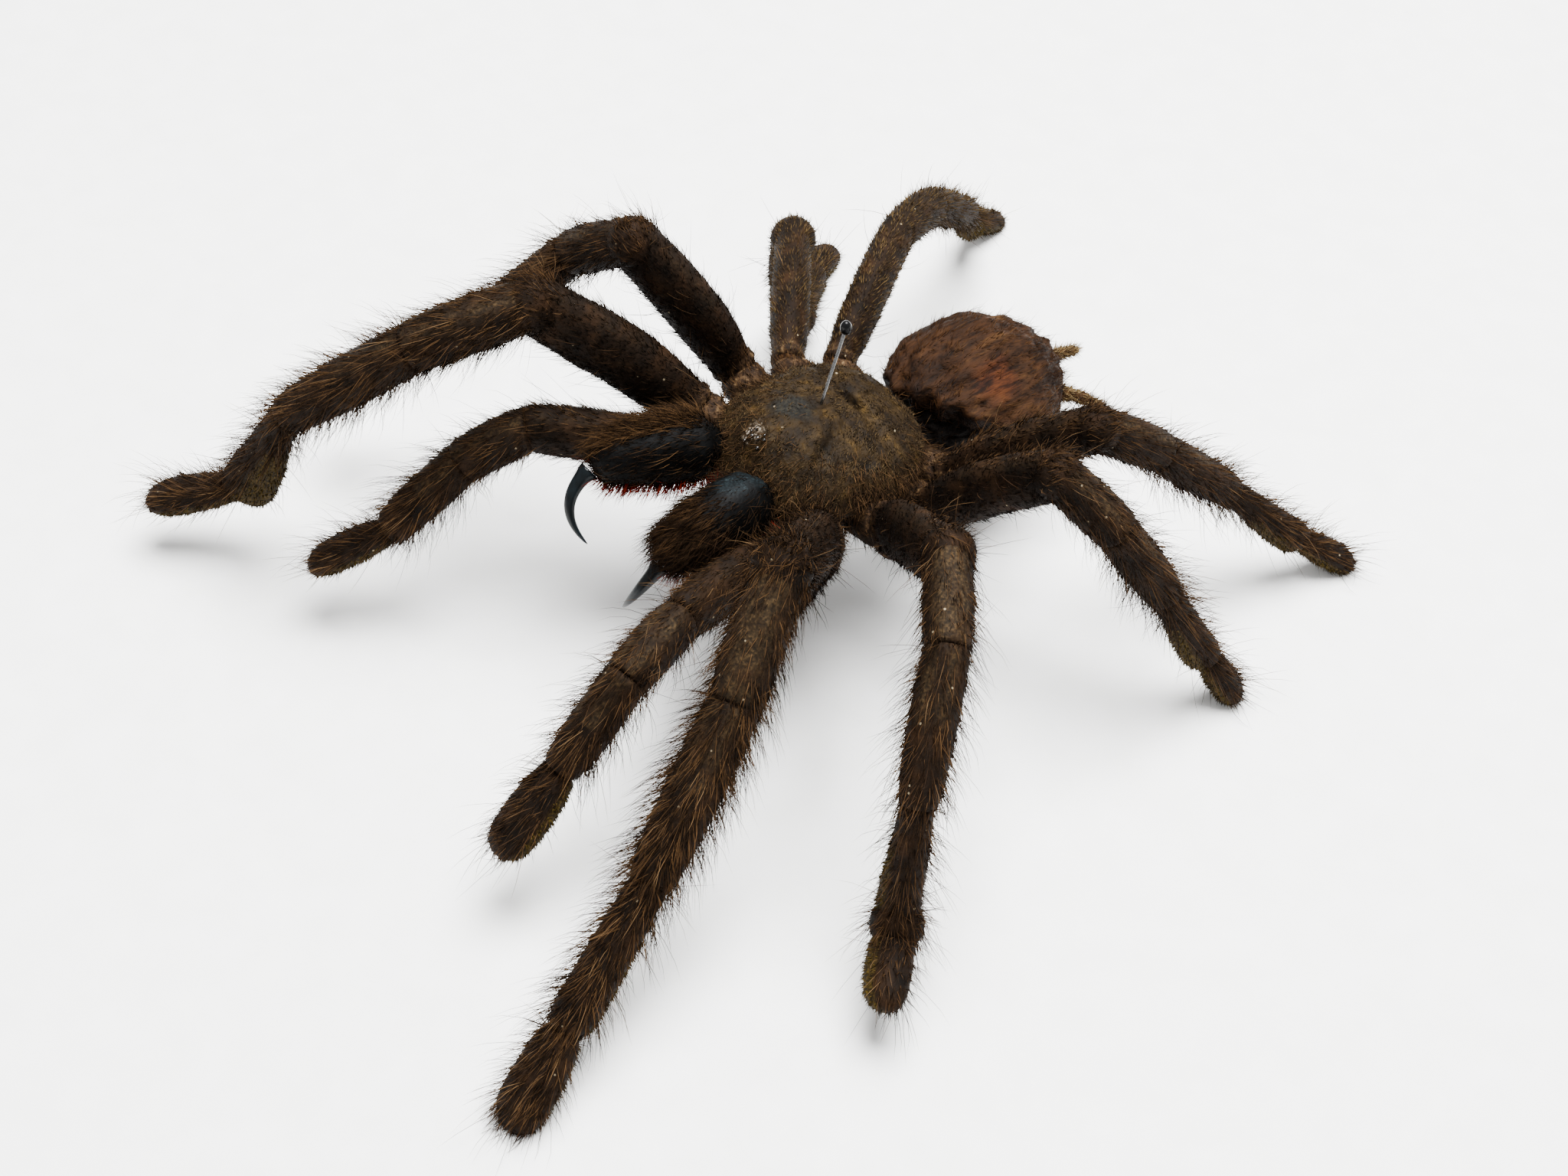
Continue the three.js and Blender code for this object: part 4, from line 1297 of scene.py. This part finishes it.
# %% [markdown]
# ## Fur of all limbs
# Every limb gets its four coats in turn, from the shortest to the longest and the soles last. A long stout
# limb has more skin, so the number of hairs follows its length and its stoutness.

# %% Limb fur
for limb in LIMBS:
    amount = sum(LENGTHS[pair_of(limb)]) * STOUT[pair_of(limb)]
    lay_pile(limb, amount)
    lay_overcoat(limb, amount)
    lay_setae(limb, amount)
    lay_scopula(limb, amount)
print("hair triangles on the limbs:", sum(hair_count.values()))

# %% [markdown]
# ## Velvet of the shield
# Velvet lies towards the fovea on the shield, with bare spots by the pin, on the eye mound and in the fovea
# itself. A brown fringe stands out round its edge.

# %% Velvet of the shield
def place_on_shield(x, y):
    """A point on top of the shield, in metres, from its place in the unit circle."""
    return np.array(BODY @ (shield(x, y, math.sqrt(1 - x * x - y * y)) * MM))


fovea = place_on_shield(-0.08, 0.28)
rubbed_spot = place_on_shield(0, -0.3)
eye_mound = place_on_shield(-0.11, -0.74)


def velvet_share(p, n):
    """Less velvet at the three bare spots, and none underneath."""
    bare = 1 - 1.1 * near(p, rubbed_spot, 4.6) - near(p, eye_mound, 2.6)
    bare = bare - 1.2 * near(p, Vector(PIT) * MM, 1.2)
    return (n[:, 2] > -0.2) * np.clip(bare, 0.03, 1)


roots, normals = scatter(carapace, 17000, velvet_share)
hairs(
    "carapace_pile", roots, normals, unit(fovea - roots),
    length=(0.4, 0.9), radius=(0.05, 0.075), lift=14, rest=6,
    kind="carapace_velvet", slot="carapace_velvet", wild=0.35, tone=(0.0, 0.85), clump=0.9,
)
roots, normals = scatter(
    carapace,
    2800,
    lambda p, n: (n[:, 2] > -0.3) * (1 - near(p, fovea, 11.5)) ** 6 * (0.2 + (p[:, 1] > 0)),
)
hairs(
    "carapace_fringe", roots, normals, unit(roots - fovea),
    length=(1.3, 3.4), radius=(0.035, 0.05), lift=28, rest=10,
    kind="rusty_fringe", slot="carapace_velvet", parts=2, wild=0.4, tone=(0.0, 0.8),
)
print("triangles of the velvet:", hair_count["carapace_pile"])

# %% [markdown]
# ## Coat of the belly
# The belly's down lies close and is combed back. It has worn off the orange spot, and none grows in the
# hollow that is painted dark as shade. Longer bristles stand on its sides.

# %% Coat of the belly
def down_share(p, n, hollow_shade_share):
    """Less down on the bald spot and in the hollow."""
    return np.clip(1.1 - 0.9 * near(p, [c * MM for c in BALD_BELLY], 5) - 0.9 * hollow_shade_share, 0.06, 1)


roots, normals, hollow_shade_share = scatter(abdomen, 11000, down_share, ("hollow_shade",))
hairs(
    "abdomen_down", roots, normals, alike([0.0, 1.0, -0.25], roots),
    length=(0.9, 2.0), radius=(0.03, 0.05), lift=8, rest=4,
    kind="abdomen_coat", slot="abdomen_skin", wild=0.25, tone=(0.0, 0.7), clump=0.8,
)
roots, normals, hollow_shade_share = scatter(
    abdomen, 1500, lambda p, n, hollow_shade_share: 0.2 + (n[:, 2] < 0.3) * (1 - hollow_shade_share), ("hollow_shade",)
)
hairs(
    "abdomen_bristles", roots, normals, alike([0.0, 1.0, -0.1], roots),
    length=(1.8, 3.4), radius=(0.03, 0.04), lift=22, rest=10,
    kind="abdomen_coat", slot="abdomen_skin", parts=2, wild=0.25, tone=(0.2, 0.9),
)
print("most_shaded bristle root:", round(float(hollow_shade_share.max()), 2))

# %% [markdown]
# ## Coxae and mouth
# Each drum is covered like the limbs, combed outwards along its own line. Behind the jaws the mouth has a
# red fringe, which keeps crumbs out of the gullet.

# %% Coxae and mouth
MOUTH = (4.6 * MM, -14.4 * MM, 21.4 * MM)

roots, normals = scatter(coxae, 9500)
middles = np.array([(a + b) / 2 for a, b in drums])
ways = np.array([b - a for a, b in drums])
nearest = np.linalg.norm(roots[:, None] - middles[None], axis=2).argmin(1)
hairs(
    "coxa_pile", roots, normals, unit(ways[nearest]),
    length=(1.1, 2.6), radius=(0.045, 0.07), lift=30, rest=14,
    kind="limb_pile", slot="limb_fur", wild=0.3, tone=(0.1, 0.95), clump=0.5,
)
roots, normals = scatter(coxae, 900, lambda p, n: near(p, MOUTH, 4.5) ** 2)
hairs(
    "mouth_fringe", roots, normals, alike([0.2, -1.0, -0.7], roots),
    length=(1.6, 3.4), radius=(0.045, 0.065), lift=50, rest=35,
    kind="red_mouth_fringe", slot="limb_fur", parts=2, wild=0.2, tone=(0.0, 0.8),
)
print("hairs of the mouth fringe:", len(roots))

# %% [markdown]
# ## Jaws and spinnerets
# The jaws have brown hair combed forward, on the outer edge of the right one and the front half of the left
# one, black pile between, and a red brush under them. The spinnerets are tan and fluffy all round.

# %% Jaws and spinnerets
def jaw_share(hand, root, tip):
    """A share of hair for each face of a jaw."""

    def share(p, n):
        if hand == "right":
            return np.clip(n @ np.array([-0.6, 0.1, 0.75]) * 3 - 1.3, 0.04, 1)
        t = np.clip(((p - root) @ (tip - root)) / ((tip - root) @ (tip - root)), 0, 1)
        return np.clip((t - 0.42) * 2.4, 0.03, 1) * (n[:, 2] > -0.4) * np.clip(1.1 - n[:, 1] * -1.0, 0.2, 1)

    return share


def unrubbed(p, n):
    """A share of pile that leaves the bald spots bare."""
    bare = sum(near(p, Vector(c) * MM, r * 1.35) for c, r in BALD_AND_SHEEN_JAW)
    return np.clip(1.1 - bare, 0.02, 1)


for hand in ("left", "right"):
    root, tip = (np.array(p) for p in line_through(CHELICERA[hand], 2))
    # The comb is not a unit vector but the jaw itself, in metres, so wild is small in proportion.
    forward = tip - root
    roots, normals = scatter(chelicera[hand], 2500, jaw_share(hand, root, tip))
    hairs(
        f"chelicera_{hand}_hair", roots, normals, alike(forward, roots),
        length=(1.6, 5.0), radius=(0.035, 0.055), lift=34, rest=2,
        kind="limb_pile", slot="chelicera_cuticle", parts=2, wild=0.004,
        tone=(0.0, 0.6 if hand == "left" else 0.85),
    )
    roots, normals = scatter(chelicera[hand], 3000, unrubbed)
    hairs(
        f"chelicera_{hand}_pile", roots, normals, alike(forward, roots),
        length=(0.8, 2.0), radius=(0.045, 0.07), lift=16, rest=6,
        kind="black_pile", slot="chelicera_cuticle", wild=0.004, tone=(0.0, 0.9),
    )
    roots, normals = scatter(chelicera[hand], 1300, lambda p, n: np.clip(-n[:, 2] * 2 - 0.7, 0, 1))
    hairs(
        f"chelicera_{hand}_brush", roots, normals, alike(forward, roots),
        length=(1.8, 3.8), radius=(0.045, 0.065), lift=64, rest=50,
        kind="red_mouth_fringe", slot="chelicera_cuticle", parts=2, wild=0.006,
    )
    roots, normals = scatter(spinneret[hand], 1000)
    outward = np.array(SPINNERET[hand][2]) - np.array(SPINNERET[hand][0])
    hairs(
        f"spinneret_{hand}_tuft", roots, normals, alike(unit(outward[None]), roots),
        length=(0.7, 1.5), radius=(0.035, 0.055), lift=50, rest=35,
        kind="tan_tuft", slot="spinneret_fur", wild=0.35,
    )
print("hair triangles:", sum(hair_count.values()), "largest coat:", max(hair_count.values()))

# %% [markdown]
# ## Floor
# The specimen stands on a sheet of white paper that runs on past the edges of the view, so that it has no
# horizon.

# %% Floor
WHITE_PAPER, t, s, here = start("white_paper", Roughness=0.8, Specular_IOR_Level=0.2)
fibres = add(t, "TexNoise", {"Vector": here, "Scale": grain(6.0)})
cover(t, s, add(t, "ValToRGB", {0: fibres}, stops=[(0.3, "#f7f7f5"), (0.7, "#fdfdfc")]), fibres, 0.01)
bm = bmesh.new()
bmesh.ops.create_grid(bm, x_segments=1, y_segments=1, size=3.0)
floor_mesh = bpy.data.meshes.new("floor")
bm.to_mesh(floor_mesh)
bm.free()
floor_mesh.materials.append(WHITE_PAPER)
floor = bpy.data.objects.new("floor", floor_mesh)
bpy.context.scene.collection.objects.link(floor)
print("floor:", floor.dimensions.x, "m wide")

# %% [markdown]
# ## Light
# One broad soft lamp hangs overhead and a little behind, and a white room fills the shadows, so they stay
# pale and have no edge.

# %% Light
world = bpy.data.worlds.new("studio")
bpy.context.scene.world = world
world.use_nodes = True
world.node_tree.nodes["Background"].inputs["Color"].default_value = (1, 1, 1, 1)
world.node_tree.nodes["Background"].inputs["Strength"].default_value = 0.9

lamp = bpy.data.lights.new("overhead", "AREA")
lamp.shape, lamp.size, lamp.energy = "DISK", 0.6, 42.0
holder = bpy.data.objects.new("overhead", lamp)
holder.location = (0.0, 0.15, 0.8)
holder.rotation_euler = (Vector((0, 0, 0)) - holder.location).to_track_quat("-Z", "Y").to_euler()
bpy.context.scene.collection.objects.link(holder)
print("lamp:", lamp.energy, "W,", lamp.size, "m across")

# %% [markdown]
# ## Camera
# The camera looks down at the specimen from its front left, 47 degrees above the floor, and is rolled by
# less than a degree, as a hand-held one is.

# %% Camera
EYE = Vector((173.7, -136.6, 238.5))  # mm
ROLL = math.radians(0.67)

look = Vector((-0.5402, 0.4177, -0.7306)).normalized()
right = look.cross(UP).normalized()
lift = right.cross(look)
across = right * math.cos(ROLL) + lift * math.sin(ROLL)
over = lift * math.cos(ROLL) - right * math.sin(ROLL)
camera = bpy.data.objects.new("camera", bpy.data.cameras.new("camera"))
camera.matrix_world = Matrix.Translation(EYE * MM) @ Matrix((across, over, -look)).transposed().to_4x4()
camera.data.sensor_width = 36.0
camera.data.lens = 55.1
camera.data.clip_start = 0.01
bpy.context.scene.collection.objects.link(camera)
bpy.context.scene.camera = camera
print("camera looks down by", round(math.degrees(math.asin(-look.z))), "degrees")
